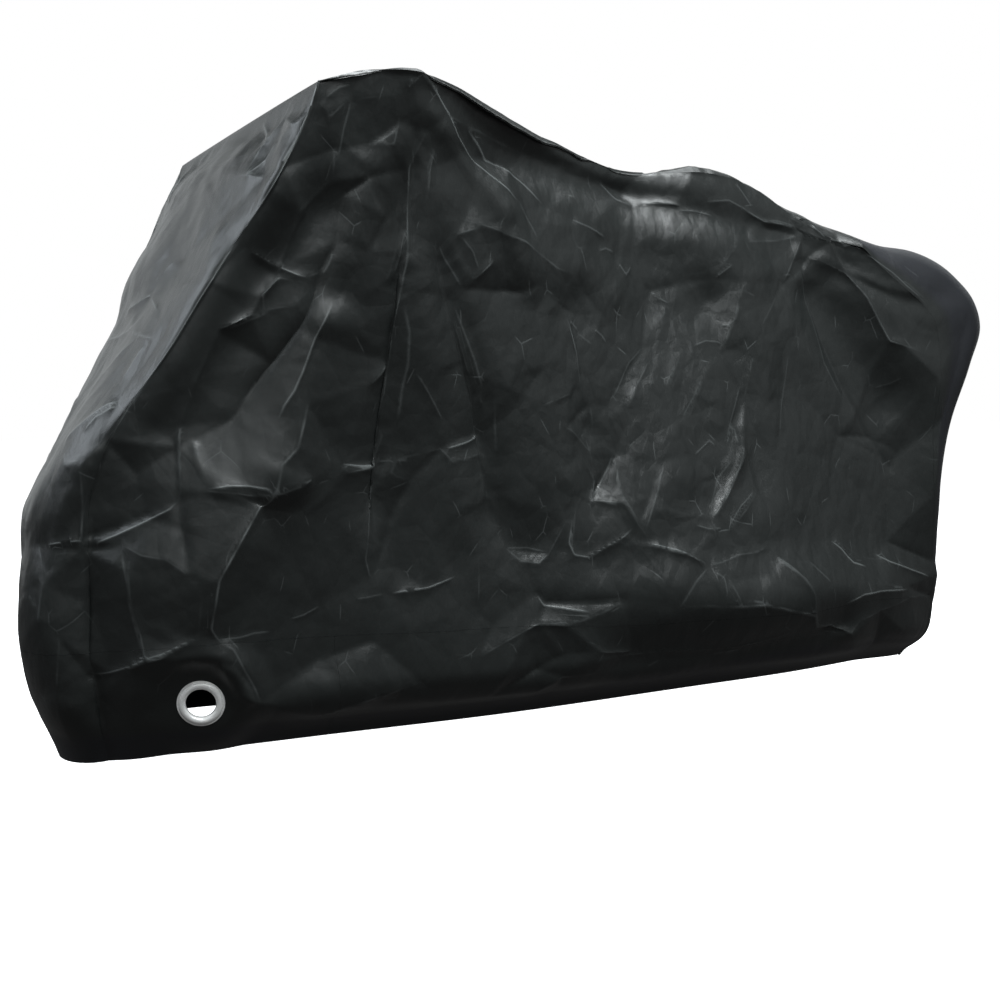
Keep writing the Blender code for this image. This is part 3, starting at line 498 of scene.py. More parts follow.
# The net's creases, each a line of corner numbers, written out by the same programs.
NET_CREASES = (
    (12, 11, 10, 9, 8, 7, 6, 5, 4, 3, 2, 1, 0, 61, 62, 63, 64),
    (1, 13, 14, 15, 16, 17, 22, 23, 44, 43, 42, 41, 40, 39, 38), (3, 72, 71, 74, 75),
    (8, 25, 24, 28, 29), (14, 51, 52, 53, 54, 42), (17, 21, 6, 20, 19, 18), (26, 27),
    (30, 31, 32, 11, 33, 34, 35, 36, 37, 55), (37, 45, 46, 47, 48, 49, 50), (56, 57), (58, 59, 60),
    (65, 66, 67, 68), (69, 70), (71, 73), (84, 85, 86, 87, 88, 93, 94, 95, 100, 385, 99), (88, 89, 90),
    (95, 101, 102, 103, 104, 129, 133, 134, 131, 132),
    (98, 97, 93, 86, 79, 96, 91, 92, 79, 78, 77, 76, 328, 388, 327, 326, 325, 324, 323, 322),
    (79, 80, 81, 82, 83, 140, 135, 136, 137, 138, 139),
    (108, 107, 106, 105, 335, 334, 333, 332, 331, 330, 329), (106, 109, 110, 111, 112),
    (123, 118, 119, 121, 122, 167, 168, 169, 170, 171, 189, 190), (119, 120, 121), (129, 130, 131),
    (141, 142, 143, 144, 145, 151, 158, 157, 156, 155), (145, 152, 148, 153, 154, 150, 149, 147, 146),
    (147, 148), (159, 160, 161, 162, 163), (164, 165, 166), (167, 177, 176),
    (174, 175, 122, 128, 127, 126, 125, 124, 118, 116, 115, 114, 113, 117, 116),
    (178, 179, 181, 182, 183, 171, 172, 173, 194, 193, 196, 199, 200, 201, 202, 203, 204, 205,
     222, 221, 220, 219, 201),
    (182, 184, 180, 179, 303, 302), (185, 186), (187, 188), (193, 192, 195, 198, 197, 196),
    (192, 191, 194), (206, 207), (208, 209, 213, 214, 215), (209, 210, 211, 212), (216, 217, 218),
    (223, 224, 225), (226, 227), (230, 229, 228, 262, 261, 260, 259, 252, 251, 250, 249, 248, 247),
    (233, 308, 229, 231, 232, 308), (238, 237, 236, 235, 234, 307, 306), (239, 240),
    (244, 243, 242, 241, 245, 246), (254, 253, 252, 263, 264), (256, 255, 252, 257, 258),
    (263, 271, 272, 273, 274, 275, 270, 276), (265, 266, 267, 268, 269, 270), (277, 278), (279, 280),
    (281, 282, 284, 285, 286), (282, 283), (287, 288, 289), (290, 291, 292), (293, 294), (295, 296),
    (297, 298), (299, 300, 301), (304, 305), (315, 314, 313, 312, 311, 310, 309, 395),
    (311, 316, 319, 320, 321), (316, 312, 317, 318), (324, 358, 357, 356),
    (332, 341, 342, 343, 344, 345, 346), (336, 327, 337, 334, 338, 339, 340, 347, 348),
    (340, 371, 372, 373, 374), (359, 360, 353, 355, 354, 353),
    (364, 363, 362, 361, 365, 392, 393, 394), (367, 366, 399, 400, 401, 402), (366, 398, 397, 396),
    (368, 369, 370, 403, 404, 405), (370, 399), (377, 376, 375, 378), (379, 380), (381, 382),
    (383, 384, 385), (386, 387, 388), (389, 390, 391), (406, 407, 408, 412, 411, 410, 409, 408),
    (413, 414, 423, 424, 425, 426), (414, 415, 416, 418, 420, 421, 422, 417, 415), (418, 419),
    (427, 428), (429, 430, 431, 432), (433, 434), (435, 436, 437, 438, 443), (439, 438, 440),
    (441, 442), (349, 352, 351, 350, 349),
)


# ------------------------------------------------------------------ curves and soft steps
def travel(points: Array) -> Array:
    """Measure how far along a line each of its points lies.

    Args:
        points: The line's points, one a row.

    Returns:
        Each point's share, 0 to 1, of the line's length.
    """
    steps = np.linalg.norm(np.diff(points, axis=0), axis=1)
    along = np.concatenate([[0.0], np.cumsum(steps)])
    return along / along[-1]


def curve(at: Array, knots: Array, values: Array) -> Array:
    """Read a smooth curve through rows of values.

    Between two knots it is the cubic that meets both rows, with the slopes that the
    rows on either side of each give.

    Args:
        at: The places to read, on the knots' scale.
        knots: The place of each row of values.
        values: The rows that the curve passes through.

    Returns:
        One row for each place.
    """
    slopes = np.gradient(values, knots, axis=0)
    row = np.clip(np.searchsorted(knots, at, side="right") - 1, 0, len(knots) - 2)
    width = (knots[row + 1] - knots[row])[:, None]
    u = (at - knots[row])[:, None] / width
    start = (1 + 2 * u) * (1 - u) ** 2 * values[row] + u * (1 - u) ** 2 * width * slopes[row]
    end = u**2 * (3 - 2 * u) * values[row + 1] - u**2 * (1 - u) * width * slopes[row + 1]
    return start + end


def smooth_step(value: Array) -> Array:
    """Rise softly from 0 to 1 as the value goes from 0 to 1."""
    value = np.clip(value, 0.0, 1.0)
    return value * value * (3.0 - 2.0 * value)


def section_lines(sections: tuple[Section, ...], at: Array) -> tuple[Array, Array, Array]:
    """Read the near, crest and far lines of a table of sections.

    Args:
        sections: The table.
        at: Shares, 0 to 1, of the way along the near line.

    Returns:
        Three arrays of points, one point a share.
    """
    table = np.array(sections)
    near, far = table[:, 0:3], table[:, 5:8]
    crest = np.column_stack([table[:, 3], (near[:, 1] + far[:, 1]) / 2, table[:, 4]])
    knots = travel(near)
    return curve(at, knots, near), curve(at, knots, crest), curve(at, knots, far)


def across(lines: tuple[Array, Array, Array], w: Array, fullness: float | Array) -> Array:
    """Span sections from their near to their far line.

    A point is the straight mix of the two ends, plus the crest's rise over their middle
    times (1 - w squared) to the power of the fullness: 0.5 spans half an ellipse.

    Args:
        lines: The near, crest and far lines.
        w: Places across, -1 near to 1 far.
        fullness: The power, one number or an array that broadcasts to the grid.

    Returns:
        A grid of points, columns across and rows along the lines.
    """
    near, crest, far = (line[None, :, :] for line in lines)
    w = w[:, None, None]
    rise = np.clip(1.0 - w * w, 0.0, 1.0) ** fullness
    return near * (1 - w) / 2 + far * (1 + w) / 2 + (crest - (near + far) / 2) * rise


# ------------------------------------------------------------------ folds and facets
def fold_profile(fold: Fold, gap: Array, left: Array) -> Array:
    """Give a fold's height, as a share of its rise, at distances from its line.

    A round fold is a bell, exp(-(gap / width)^2).  A crisp one is exp(-gap / width) with
    its very crest rounded off.  A lapped one is the same with its left flank steeper.

    Args:
        fold: The fold.
        gap: Distance from the fold's line, in metres.
        left: True where the place is on the left of the line.

    Returns:
        Shares from 0 to 1.
    """
    if fold.lie is Lie.ROUND:
        return np.exp(-((gap / fold.half_width) ** 2))
    width = fold.half_width
    if fold.lie is Lie.LAPPED:
        width = np.where(left, fold.STEEP * width, fold.LONG * width)
    return np.exp(-(np.sqrt(gap**2 + fold.CREST**2) - fold.CREST) / width)


@dataclass
class Relief:
    """What folds and creases do at some places of the cloth.

    The gap is how far the nearest lightened crest lies, above zero on one side of it and
    below on the other, so that a crest stays a thin straight line between mesh points.
    That lightening is partly rubbing of the coating and partly painted highlight.
    """

    height: Array
    # Lightening along crests: partly rubbing of the coating, partly painted highlight.
    wear_and_highlight: Array
    gap: Array

    FAR: ClassVar[float] = 0.05             # the gap where no crest is near
    WORN_LIT_REACH: ClassVar[float] = 0.012     # how far off its crest the rubbing and painted highlight reach
    LEAST_WEAR_AND_HIGHLIGHT: ClassVar[float] = 0.01      # crests with less rubbing and painted highlight than this leave no line

    @classmethod
    def level(cls, count: int) -> "Relief":
        """Return the relief of untouched cloth at a number of places."""
        return cls(np.zeros(count), np.zeros(count), np.full(count, cls.FAR))

    def rub_and_highlight(self, inside: Array, gap: Array, left: Array, amount: Array) -> None:
        """Lay a crest's line of rubbing and painted highlight where it is the nearest one.

        Args:
            inside: The places about the crest.
            gap: How far each of them lies from it, in metres.
            left: True where a place is on the crest's left.
            amount: How strong the rubbing and painted highlight are beside each of them, from 0 to 1.
        """
        chosen = (gap < np.abs(self.gap[inside])) & (amount > self.LEAST_WEAR_AND_HIGHLIGHT)
        ids = inside[chosen]
        self.gap[ids] = np.where(left, gap, -gap)[chosen]
        self.wear_and_highlight[ids] = (amount * (1.0 - smooth_step(gap / self.WORN_LIT_REACH)))[chosen]


def beside_run(places: Array, start: Array, stop: Array) -> tuple[Array, Array, Array]:
    """Find how places lie beside a straight run.

    Args:
        places: Side-view places, one a row.
        start: Where the run starts.
        stop: Where it stops.

    Returns:
        For each place its share along the run, the move onto it, and whether it is left.
    """
    run, offset = stop - start, places - start
    along = np.clip(offset @ run / (run @ run), 0.0, 1.0)
    return along, along[:, None] * run - offset, run[0] * offset[:, 1] - run[1] * offset[:, 0] > 0


def lay_fold(fold: Fold, places: Array, relief: Relief) -> None:
    """Add one fold to the heights, and its crest's line of rubbing and painted highlight.

    The fold follows the nearest point of its path and dies away over its ends.

    Args:
        fold: The fold.
        places: Side-view places, one a row.
        relief: The places' relief, changed here.
    """
    path = np.array(fold.path)
    reach = fold.REACH * fold.half_width
    low, high = path.min(axis=0) - reach, path.max(axis=0) + reach
    inside = np.flatnonzero(np.all((places > low) & (places < high), axis=1))
    if not len(inside):
        return
    seen = places[inside]
    ends = travel(path)
    best = np.full(len(seen), np.inf)
    share = np.zeros(len(seen))
    left = np.zeros(len(seen), bool)
    for start, stop, first, last in zip(path[:-1], path[1:], ends[:-1], ends[1:]):
        along, move, on_left = beside_run(seen, start, stop)
        gap = np.linalg.norm(move, axis=1)
        closer = gap < best
        best = np.where(closer, gap, best)
        share = np.where(closer, first + along * (last - first), share)
        left = np.where(closer, on_left, left)
    taper = smooth_step(np.minimum(share, 1.0 - share) / fold.TAPER)
    relief.height[inside] += fold.rise * taper * fold_profile(fold, best, left)
    if fold.lie is not Lie.ROUND and fold.rise > 0:
        relief.rub_and_highlight(inside, best, left, taper * min(1.0, fold.rise / fold.FULL_WEAR_AND_HIGHLIGHT))


def stroke_folds() -> tuple[Fold, ...]:
    """Turn the table of short creases into folds with sharp crests."""
    folds = []
    for rise, width, *path in STROKES:
        places = np.array(path).reshape(-1, 2) / 1000.0
        path_pairs = tuple(map(tuple, places))
        folds.append(Fold(width / 1000.0, rise / STROKE_RISES_A_METRE, path_pairs, Lie.CRISP))
    return tuple(folds)


def strewn_folds(strews: tuple[Strew, ...], seed: int) -> list[Fold]:
    """Work out the small creases of some patches.

    Each crease has a random middle, heading, length and rise about its patch's own, and
    is slightly bent halfway.

    Args:
        strews: The patches.
        seed: Makes the same creases each time.

    Returns:
        The creases as folds.
    """
    rng = np.random.default_rng(seed)
    folds: list[Fold] = []
    for strew in strews:
        count = strew.count
        middles = rng.normal(0.0, strew.SCATTER, (count, 2)) * (strew.reach_x, strew.reach_z)
        headings = np.radians(strew.heading + rng.normal(0.0, strew.SCATTER, count) * strew.spread)
        lengths = strew.length * rng.uniform(*strew.LENGTHS, count)
        rises = strew.rise * rng.uniform(*strew.RISES, count) * rng.choice(strew.SIGNS, count)
        bends = rng.uniform(-strew.BEND, strew.BEND, count)
        for middle, heading, length, rise, bend in zip(middles, headings, lengths, rises, bends):
            run = np.array([math.cos(heading), math.sin(heading)]) * length / 2
            side = np.array([-run[1], run[0]]) * bend * 2
            centre = middle + (strew.x, strew.z)
            path = tuple(tuple(point) for point in (centre - run, centre + side, centre + run))
            lie = Lie.LAPPED if rng.random() < strew.LAPPED_SHARE else Lie.CRISP
            folds.append(Fold(strew.SLIMNESS * length + strew.LEAST_WIDTH, float(rise), path, lie))
    return folds


def facet_heights(places: Array, crumple: Crumple) -> Array:
    """Work out one layer of flat facets.

    A lattice of triangles has each of its corners moved by chance and given a chance
    height from -1 to 1.  The height at a place is the flat mix of the three corners of
    the triangle that it is in.

    Args:
        places: Side-view places, one a row.
        crumple: The layer.

    Returns:
        Heights from -1 to 1 times the layer's rise, one a place.
    """
    lattice = np.array([[1.0, 0.5], [0.0, math.sqrt(0.75)]]) * crumple.cell
    back = np.linalg.inv(lattice)
    spot = places @ back.T
    cell = np.floor(spot).astype(int)
    low = cell.min(axis=0) - 2
    span = cell.max(axis=0) - low + 4
    rng = np.random.default_rng(crumple.seed)
    corners = np.stack(np.meshgrid(np.arange(span[0]), np.arange(span[1]), indexing="ij"), axis=-1)
    corners = corners + low + rng.uniform(-crumple.WANDER, crumple.WANDER, (span[0], span[1], 2))
    rises = rng.uniform(-1.0, 1.0, (span[0], span[1]))
    result = np.zeros(len(places))
    sureness = np.full(len(places), -np.inf)
    for di in (-1, 0, 1):
        for dj in (-1, 0, 1):
            base = cell - low + (di, dj)
            for steps in (((0, 0), (1, 0), (0, 1)), ((1, 0), (1, 1), (0, 1))):
                index = [(base[:, 0] + a, base[:, 1] + b) for a, b in steps]
                p, q, r = (corners[i, j] for i, j in index)
                area = ((q[:, 0] - p[:, 0]) * (r[:, 1] - p[:, 1])
                        - (r[:, 0] - p[:, 0]) * (q[:, 1] - p[:, 1]))
                to_q = ((spot[:, 0] - p[:, 0]) * (r[:, 1] - p[:, 1])
                        - (r[:, 0] - p[:, 0]) * (spot[:, 1] - p[:, 1])) / area
                to_r = ((q[:, 0] - p[:, 0]) * (spot[:, 1] - p[:, 1])
                        - (spot[:, 0] - p[:, 0]) * (q[:, 1] - p[:, 1])) / area
                to_p = 1.0 - to_q - to_r
                least = np.minimum(np.minimum(to_p, to_q), to_r)
                better = least > sureness
                mixed = to_p * rises[index[0]] + to_q * rises[index[1]] + to_r * rises[index[2]]
                result = np.where(better, mixed, result)
                sureness = np.where(better, least, sureness)
    return result * crumple.rise


@dataclass(frozen=True)
class CreaseNet:
    """Flat facets of cloth between creases, seen from the side."""

    corners: tuple[tuple[int, int, int], ...]
    creases: tuple[tuple[int, ...], ...]
    press_width: float = 0.0060
    press_share: float = 0.95
    deepest_press: float = 0.0026
    press_reach: float = 5.0
    press_crest: float = 0.0010
    # Shares of rubbing and painted highlight along the creases' crest lines.
    least_rub_and_highlight: float = 0.25
    rub_and_highlight_waves: tuple[float, float] = (61.0, 47.0)
    turn_depth: float = 0.35
    turn_waves: tuple[float, float] = (0.011, 0.017)
    nose_end: float = -840.0
    nose_fade: float = 180.0

    SCALE: ClassVar[tuple[float, float, float]] = (0.001, 0.001, 0.0001)
    SLACK: ClassVar[float] = 1e-7           # metres by which an edge may be missed
    EDGE: ClassVar[float] = 1e-6            # share by which a place may be off its facet

    def eased(self, share: float) -> CreaseNet:
        """Return the same net with its corners eased in or out, and nearly flat at the nose."""
        table = np.array(self.corners, float)
        turns = 1.0 + self.turn_depth * np.sin(table[:, :2] @ self.turn_waves)
        table[:, 2] *= share * turns * smooth_step((table[:, 0] - self.nose_end) / self.nose_fade)
        return replace(self, corners=tuple(map(tuple, table.round().astype(int).tolist())))

    def facets(self) -> tuple[Array, Array]:
        """Join the corners into triangles whose edges follow the creases.

        Returns:
            The corners as (x, z, rise) in metres, and three corner numbers a triangle.
        """
        corners = np.array(self.corners, float) * self.SCALE
        edges = [pair for line in self.creases for pair in zip(line[:-1], line[1:])]
        flat = [Vector(corner) for corner in corners[:, :2]]
        joined = delaunay_2d_cdt(flat, edges, [], 0, self.SLACK)
        first = np.array([origins[0] for origins in joined[3]])
        return corners, first[np.array([face for face in joined[2] if len(face) == 3])]

    def flat_heights(self, places: Array, corners: Array, facets: Array) -> Array:
        """Read the facets' heights.

        The height at a place is the flat mix of the three corners of its facet, and 0
        outside the net.

        Args:
            places: Side-view places, one a row.
            corners: The corners from facets().
            facets: The triangles from facets().

        Returns:
            Heights in metres, one a place.
        """
        order = np.argsort(places[:, 0])
        sorted_x = places[order, 0]
        height = np.zeros(len(places))
        for facet in facets:
            (ax, az, ah), (bx, bz, bh), (cx, cz, ch) = corners[facet]
            low, high = np.searchsorted(sorted_x, (min(ax, bx, cx) - self.SLACK,
                                                   max(ax, bx, cx) + self.SLACK))
            inside = order[low:high]
            x, z = places[inside, 0] - cx, places[inside, 1] - cz
            area = (bz - cz) * (ax - cx) + (cx - bx) * (az - cz)
            to_a = ((bz - cz) * x + (cx - bx) * z) / area
            to_b = ((cz - az) * x + (ax - cx) * z) / area
            within = (to_a > -self.EDGE) & (to_b > -self.EDGE) & (to_a + to_b < 1 + self.EDGE)
            mixed = to_a * ah + to_b * bh + (1 - to_a - to_b) * ch
            height[inside[within]] = mixed[within]
        return height

    def pull(self, places: Array, slack: Array, shift: Array, creased: Array) -> None:
        """Find how far each place near a crease lies from it.

        Args:
            places: Side-view places, one a row.
            slack: How far each place may move, below zero where it has to stay.
            shift: The moves onto the creases, filled in here.
            creased: Marked here where a place is moved.
        """
        corners = (np.array(self.corners, float) * self.SCALE)[:, :2]
        order = np.argsort(places[:, 0])
        sorted_x = places[order, 0]
        nearest = slack.copy()
        reach = float(slack.max())
        for first, last in {pair for line in self.creases for pair in zip(line[:-1], line[1:])}:
            start, stop = corners[first], corners[last]
            low, high = np.searchsorted(sorted_x, (min(start[0], stop[0]) - reach,
                                                   max(start[0], stop[0]) + reach))
            inside = order[low:high]
            _, move, _ = beside_run(places[inside], start, stop)
            gap = np.linalg.norm(move, axis=1)
            closer = gap < nearest[inside]
            chosen = inside[closer]
            nearest[chosen], shift[chosen], creased[chosen] = gap[closer], move[closer], True

    def presses(self, corners: Array, facets: Array) -> dict[tuple[int, int], float]:
        """Work out how far each crease is pressed in beyond the angle of its facets.

        Args:
            corners: The corners from facets().
            facets: The triangles from facets().

        Returns:
            For each crease edge, a rise in metres, above zero on a ridge.
        """
        points = corners[facets]
        sides = points[:, 1:, :2] - points[:, :1, :2]
        climbs = points[:, 1:, 2] - points[:, :1, 2]
        slopes = np.linalg.solve(sides, climbs[..., None])[..., 0]
        owners: dict[tuple[int, int], list[int]] = {}
        for number, facet in enumerate(facets.tolist()):
            for first, last in zip(facet, facet[1:] + facet[:1]):
                owners.setdefault((min(first, last), max(first, last)), []).append(number)
        found: dict[tuple[int, int], float] = {}
        for line in self.creases:
            for first, last in zip(line[:-1], line[1:]):
                edge = (min(first, last), max(first, last))
                beside = owners.get(edge, [])
                if len(beside) != 2:
                    continue
                run = corners[edge[1], :2] - corners[edge[0], :2]
                square = np.array([-run[1], run[0]]) / np.linalg.norm(run)
                middles = points[beside, :, :2].mean(axis=1)
                facing = math.copysign(1.0, (middles[0] - middles[1]) @ square)
                bend = facing * (slopes[beside[0]] - slopes[beside[1]]) @ square
                rise = -bend * self.press_share * self.press_width
                found[edge] = float(np.clip(rise, -self.deepest_press, self.deepest_press))
        return found

    def press(self, places: Array, corners: Array, facets: Array, relief: Relief) -> None:
        """Press the creases in: the extra height along them, and the rubbing and painted highlight of
        their ridges.

        Beside each crease the height is exp(-gap / width), with its very crest rounded off.

        Args:
            places: Side-view places, one a row.
            corners: The corners from facets().
            facets: The triangles from facets().
            relief: The places' relief, changed here.
        """
        rises = self.presses(corners, facets)
        order = np.argsort(places[:, 0])
        sorted_x = places[order, 0]
        reach, crest = self.press_reach * self.press_width, self.press_crest
        for line in self.creases:
            pairs = [(min(a, b), max(a, b)) for a, b in zip(line[:-1], line[1:])]
            edge_rise = np.array([rises.get(pair, 0.0) for pair in pairs])
            corner_rise = np.concatenate([[0.0], (edge_rise[:-1] + edge_rise[1:]) / 2, [0.0]])
            path = corners[list(line), :2]
            low, high = path.min(axis=0) - reach, path.max(axis=0) + reach
            first, last = np.searchsorted(sorted_x, (low[0], high[0]))
            inside = order[first:last]
            inside = inside[(places[inside, 1] > low[1]) & (places[inside, 1] < high[1])]
            best, rise = np.full(len(inside), np.inf), np.zeros(len(inside))
            left = np.zeros(len(inside), bool)
            for start, stop, begin, finish, most in zip(path[:-1], path[1:], corner_rise[:-1],
                                                        corner_rise[1:], edge_rise):
                along, move, on_left = beside_run(places[inside], start, stop)
                gap = np.linalg.norm(move, axis=1)
                mixed = begin + along * (finish - begin)
                mixed = mixed + (most - mixed) * 4.0 * along * (1.0 - along)
                rise = np.where(gap < best, mixed, rise)
                left = np.where(gap < best, on_left, left)
                best = np.minimum(best, gap)
            bell = np.exp(-(np.sqrt(best**2 + crest**2) - crest) / self.press_width)
            relief.height[inside] += rise * bell
            # The crest lines get uneven rubbing and painted highlight along their length.
            wave = np.sin(places[inside] @ self.rub_and_highlight_waves) ** 2
            uneven = self.least_rub_and_highlight + (1.0 - self.least_rub_and_highlight) * wave
            relief.rub_and_highlight(inside, best, left, uneven * np.clip(rise / self.deepest_press, 0.0, 1.0))

    def lay(self, places: Array, relief: Relief) -> None:
        """Add the facets, with their creases pressed in, to the places' relief."""
        corners, facets = self.facets()
        relief.height += self.flat_heights(places, corners, facets)
        self.press(places, corners, facets, relief)


def patch_weight(patches: tuple[Patch, ...], places: Array, base: float,
                 least: float = 0.1) -> Array:
    """Add up how crumpled the cloth is at each place.

    Args:
        patches: The places that differ, each a bell over its own reach.
        places: Side-view places, one a row.
        base: The weight away from every patch.
        least: The lowest weight anywhere.

    Returns:
        Weights, one a place.
    """
    weight = np.full(len(places), base)
    for patch in patches:
        offset = (places - (patch.x, patch.z)) / (patch.reach_x, patch.reach_z)
        weight += patch.weight * np.exp(-np.sum(offset**2, axis=1))
    return np.maximum(weight, least)


@dataclass(frozen=True)
class CrumpledSide:
    """Everything that creases the cloth as seen from one side."""

    creases: tuple[Fold, ...]
    strews: tuple[Strew, ...]
    patches: tuple[Patch, ...]
    seed: int
    net: CreaseNet | None = None
    base_weight: float = 0.55
    heading: float = 66.0
    lengthening: float = 1.25

    def read(self, places: Array, lively: Array) -> Relief:
        """Work out how far the cloth stands out and how much rubbing and painted highlight its crests get.

        Args:
            places: Side-view places, one a row.
            lively: How much more crumpled than the side each place is, one a place.

        Returns:
            The places' relief.
        """
        relief = Relief.level(len(places))
        for fold in (*self.creases, *strewn_folds(self.strews, self.seed)):
            lay_fold(fold, places, relief)
        if self.net:
            self.net.lay(places, relief)
        weight = patch_weight(self.patches, places, self.base_weight)
        turn = math.radians(self.heading)
        along = np.array([[math.cos(turn), -math.sin(turn)], [math.sin(turn), math.cos(turn)]])
        drawn = places @ along / (self.lengthening, 1.0)
        for layer in CRUMPLES:
            seeded = replace(layer, seed=layer.seed * layer.SEEDS_A_SIDE + self.seed)
            relief.height += weight * lively * facet_heights(drawn, seeded)
        return relief


# ------------------------------------------------------------------ the skin
@dataclass
class Skin:
    """The cover's whole skin: one set of points that all pieces share.

    Every grid holds indices into the points, so that neighbouring pieces meet exactly.
    """

    side_steps: int = 400
    end_steps: int = 96
    panel_rows: int = 180
    strip_rows: int = 44
    strip_start: float = 0.84
    belly: float = 0.0127
    belly_power: float = 3.0
    tuck: float = 0.022
    tuck_start: float = 0.93
    side_fade: float = 0.10
    top_fade: float = 0.05
    loose_share: float = 2.7
    least_fullness: float = 0.5
    # A line of rubbing and painted highlight down the front panel's upper seams.
    seam_wear_and_highlight: float = 1.4
    seam_lit_worn_row: float = 0.42
    seam_fade: float = 0.16
    seam_columns: int = 4
    # Cells more skewed than this stay where they are when points slide onto a crease.
    skew_limit: float = 0.2
    slide_share: float = 0.5
    end_fade: float = 0.04
    top_end_fade: float = 0.05
    hem_fade_start: float = 0.90
    hem_fade: float = 0.09
    tail_fade: float = 0.12
    tail_calm: float = 0.85
    tail_edge: float = 0.02
    band_start: float = 0.955
    band_edge: float = 0.012
    band_widening: float = 0.030
    widen_start: float = 0.35
    widen_reach: float = 0.5
    flat_radius: float = 0.040
    flat_blend_radius: float = 0.112
    calm_radius: float = 0.042
    calm_blend_radius: float = 0.080
    grids: dict[str, Array] = field(default_factory=dict)
    points: Array = field(default_factory=lambda: np.zeros((0, 3)))
    normals: Array = field(default_factory=lambda: np.zeros((0, 3)))
    flat: Array = field(default_factory=lambda: np.zeros((0, 2)))
    wear_and_highlight: Array = field(default_factory=lambda: np.zeros(0))
    gap: Array = field(default_factory=lambda: np.zeros(0))
    calm: Array = field(default_factory=lambda: np.zeros(0))
    busy: Array = field(default_factory=lambda: np.zeros(0))
    creased: Array = field(default_factory=lambda: np.zeros(0, bool))

    def columns(self) -> Array:
        """Return the shares along a side at which its columns stand."""
        return np.linspace(0.0, 1.0, self.side_steps + 1)

    def rows(self) -> Array:
        """Return the shares down a side at which its rows lie, the hem strip's included."""
        panel = np.linspace(0.0, self.strip_start, self.panel_rows + 1)
        strip = np.linspace(self.strip_start, 1.0, self.strip_rows + 1)
        return np.concatenate([panel, strip[1:]])

    def spans(self) -> Array:
        """Return the places across an end, -1 near to 1 far, even round a half circle."""
        return np.sin(np.linspace(-math.pi / 2, math.pi / 2, self.end_steps + 1))

    def side(self, side: int, folds: tuple[Fold, ...]) -> Array:
        """Work out a side with its main folds.

        The side fills the loop of its top, front, rear and hem lines: each point is the
        mix of the lines above and below it, plus the mix of those before and behind it,
        less the mix of the four corners.  The belly, the hem's tuck and the main folds
        then move it sideways.

        Args:
            side: -1 for the near side and 1 for the far one.
            folds: The side's main folds.

        Returns:
            A grid of points, columns from nose to tail and rows going down.
        """
        s, t = self.columns(), self.rows()
        pick = 0 if side < 0 else 2
        top = section_lines(TOP_SECTIONS, s)[pick][:, None, :]
        front = section_lines(FRONT_SECTIONS, t)[pick][None, :, :]
        rear = section_lines(REAR_SECTIONS, t)[pick][None, :, :]
        hem_points = np.array(HEM_LINE) * (1.0, -side, 1.0)
        hem = curve(s, travel(hem_points), hem_points)[:, None, :]
        u, v = s[:, None, None], t[None, :, None]
        corners = ((1 - u) * (1 - v) * top[:1] + u * (1 - v) * top[-1:]
                   + (1 - u) * v * hem[:1] + u * v * hem[-1:])
        grid = (1 - v) * top + v * hem + (1 - u) * front + u * rear - corners
        ends = smooth_step(np.minimum(s, 1 - s) / self.side_fade)[:, None]
        fullest = self.belly_power / (self.belly_power + 1)
        peak = fullest**self.belly_power * (1 - fullest)
        swell = self.belly * t**self.belly_power * (1 - t) / peak
        tuck = smooth_step((t - self.tuck_start) / (1 - self.tuck_start)) * self.tuck
        relief = Relief.level(grid.shape[0] * grid.shape[1])
        for fold in folds:
            lay_fold(fold, grid[..., [0, 2]].reshape(-1, 2), relief)
        folded = relief.height.reshape(grid.shape[:2]) * smooth_step(t / self.top_fade)[None, :]
        grid[..., 1] += side * ends * ((swell - tuck)[None, :] + folded)
        return grid

    def end(self, sections: tuple[Section, ...]) -> Array:
        """Return the front or the rear, columns from near to far, rows going down."""
        return across(section_lines(sections, self.rows()), self.spans(), self.least_fullness)

    def top(self) -> Array:
        """Return the top, columns from front to rear, rows from near to far."""
        s = self.columns()
        rounding = (1.0 - self.least_fullness) * np.sin(math.pi * s)
        fullness = (self.least_fullness + rounding)[None, :, None]
        return np.swapaxes(across(section_lines(TOP_SECTIONS, s), self.spans(), fullness), 0, 1)

    def weld(self) -> None:
        """Number the points of all grids so that shared edges are the same points."""
        near, far = self.side(-1, NEAR_MAIN_FOLDS), self.side(1, FAR_MAIN_FOLDS)
        front, rear, top = self.end(FRONT_SECTIONS), self.end(REAR_SECTIONS), self.top()
        store: list[Array] = []
        count = 0

        def number(grid: Array) -> Array:
            nonlocal count
            ids = np.arange(count, count + grid.shape[0] * grid.shape[1]).reshape(grid.shape[:2])
            store.append(grid.reshape(-1, 3))
            count += ids.size
            return ids

        ids = {"near": number(near), "far": number(far)}
        for name, grid, column in (("front", front, 0), ("rear", rear, -1)):
            middle = number(grid[1:-1])
            ids[name] = np.concatenate([ids["near"][column][None], middle, ids["far"][column][None]])
        inner = number(top[1:-1, 1:-1])
        ids["top"] = np.zeros(top.shape[:2], int)
        ids["top"][1:-1, 1:-1] = inner
        ids["top"][:, 0], ids["top"][:, -1] = ids["near"][:, 0], ids["far"][:, 0]
        ids["top"][0, :], ids["top"][-1, :] = ids["front"][:, 0], ids["rear"][:, 0]
        self.grids = ids
        self.points = np.concatenate(store)

    def faces(self) -> Array:
        """Return all cells of the skin as rings of four points, seen from outside."""
        rings = []
        for name, turned in (("near", False), ("far", True), ("front", True),
                             ("rear", False), ("top", True)):
            rings.append(cell_rings(self.grids[name], turned))
        return np.concatenate(rings)

    def find_normals(self) -> None:
        """Give each point the area-weighted mean of the normals of the cells round it."""
        rings = self.faces()
        corners = self.points[rings]
        facing = np.cross(corners[:, 2] - corners[:, 0], corners[:, 3] - corners[:, 1])
        total = np.zeros_like(self.points)
        for k in range(4):
            np.add.at(total, rings[:, k], facing)
        self.normals = total / np.maximum(np.linalg.norm(total, axis=1, keepdims=True), 1e-12)

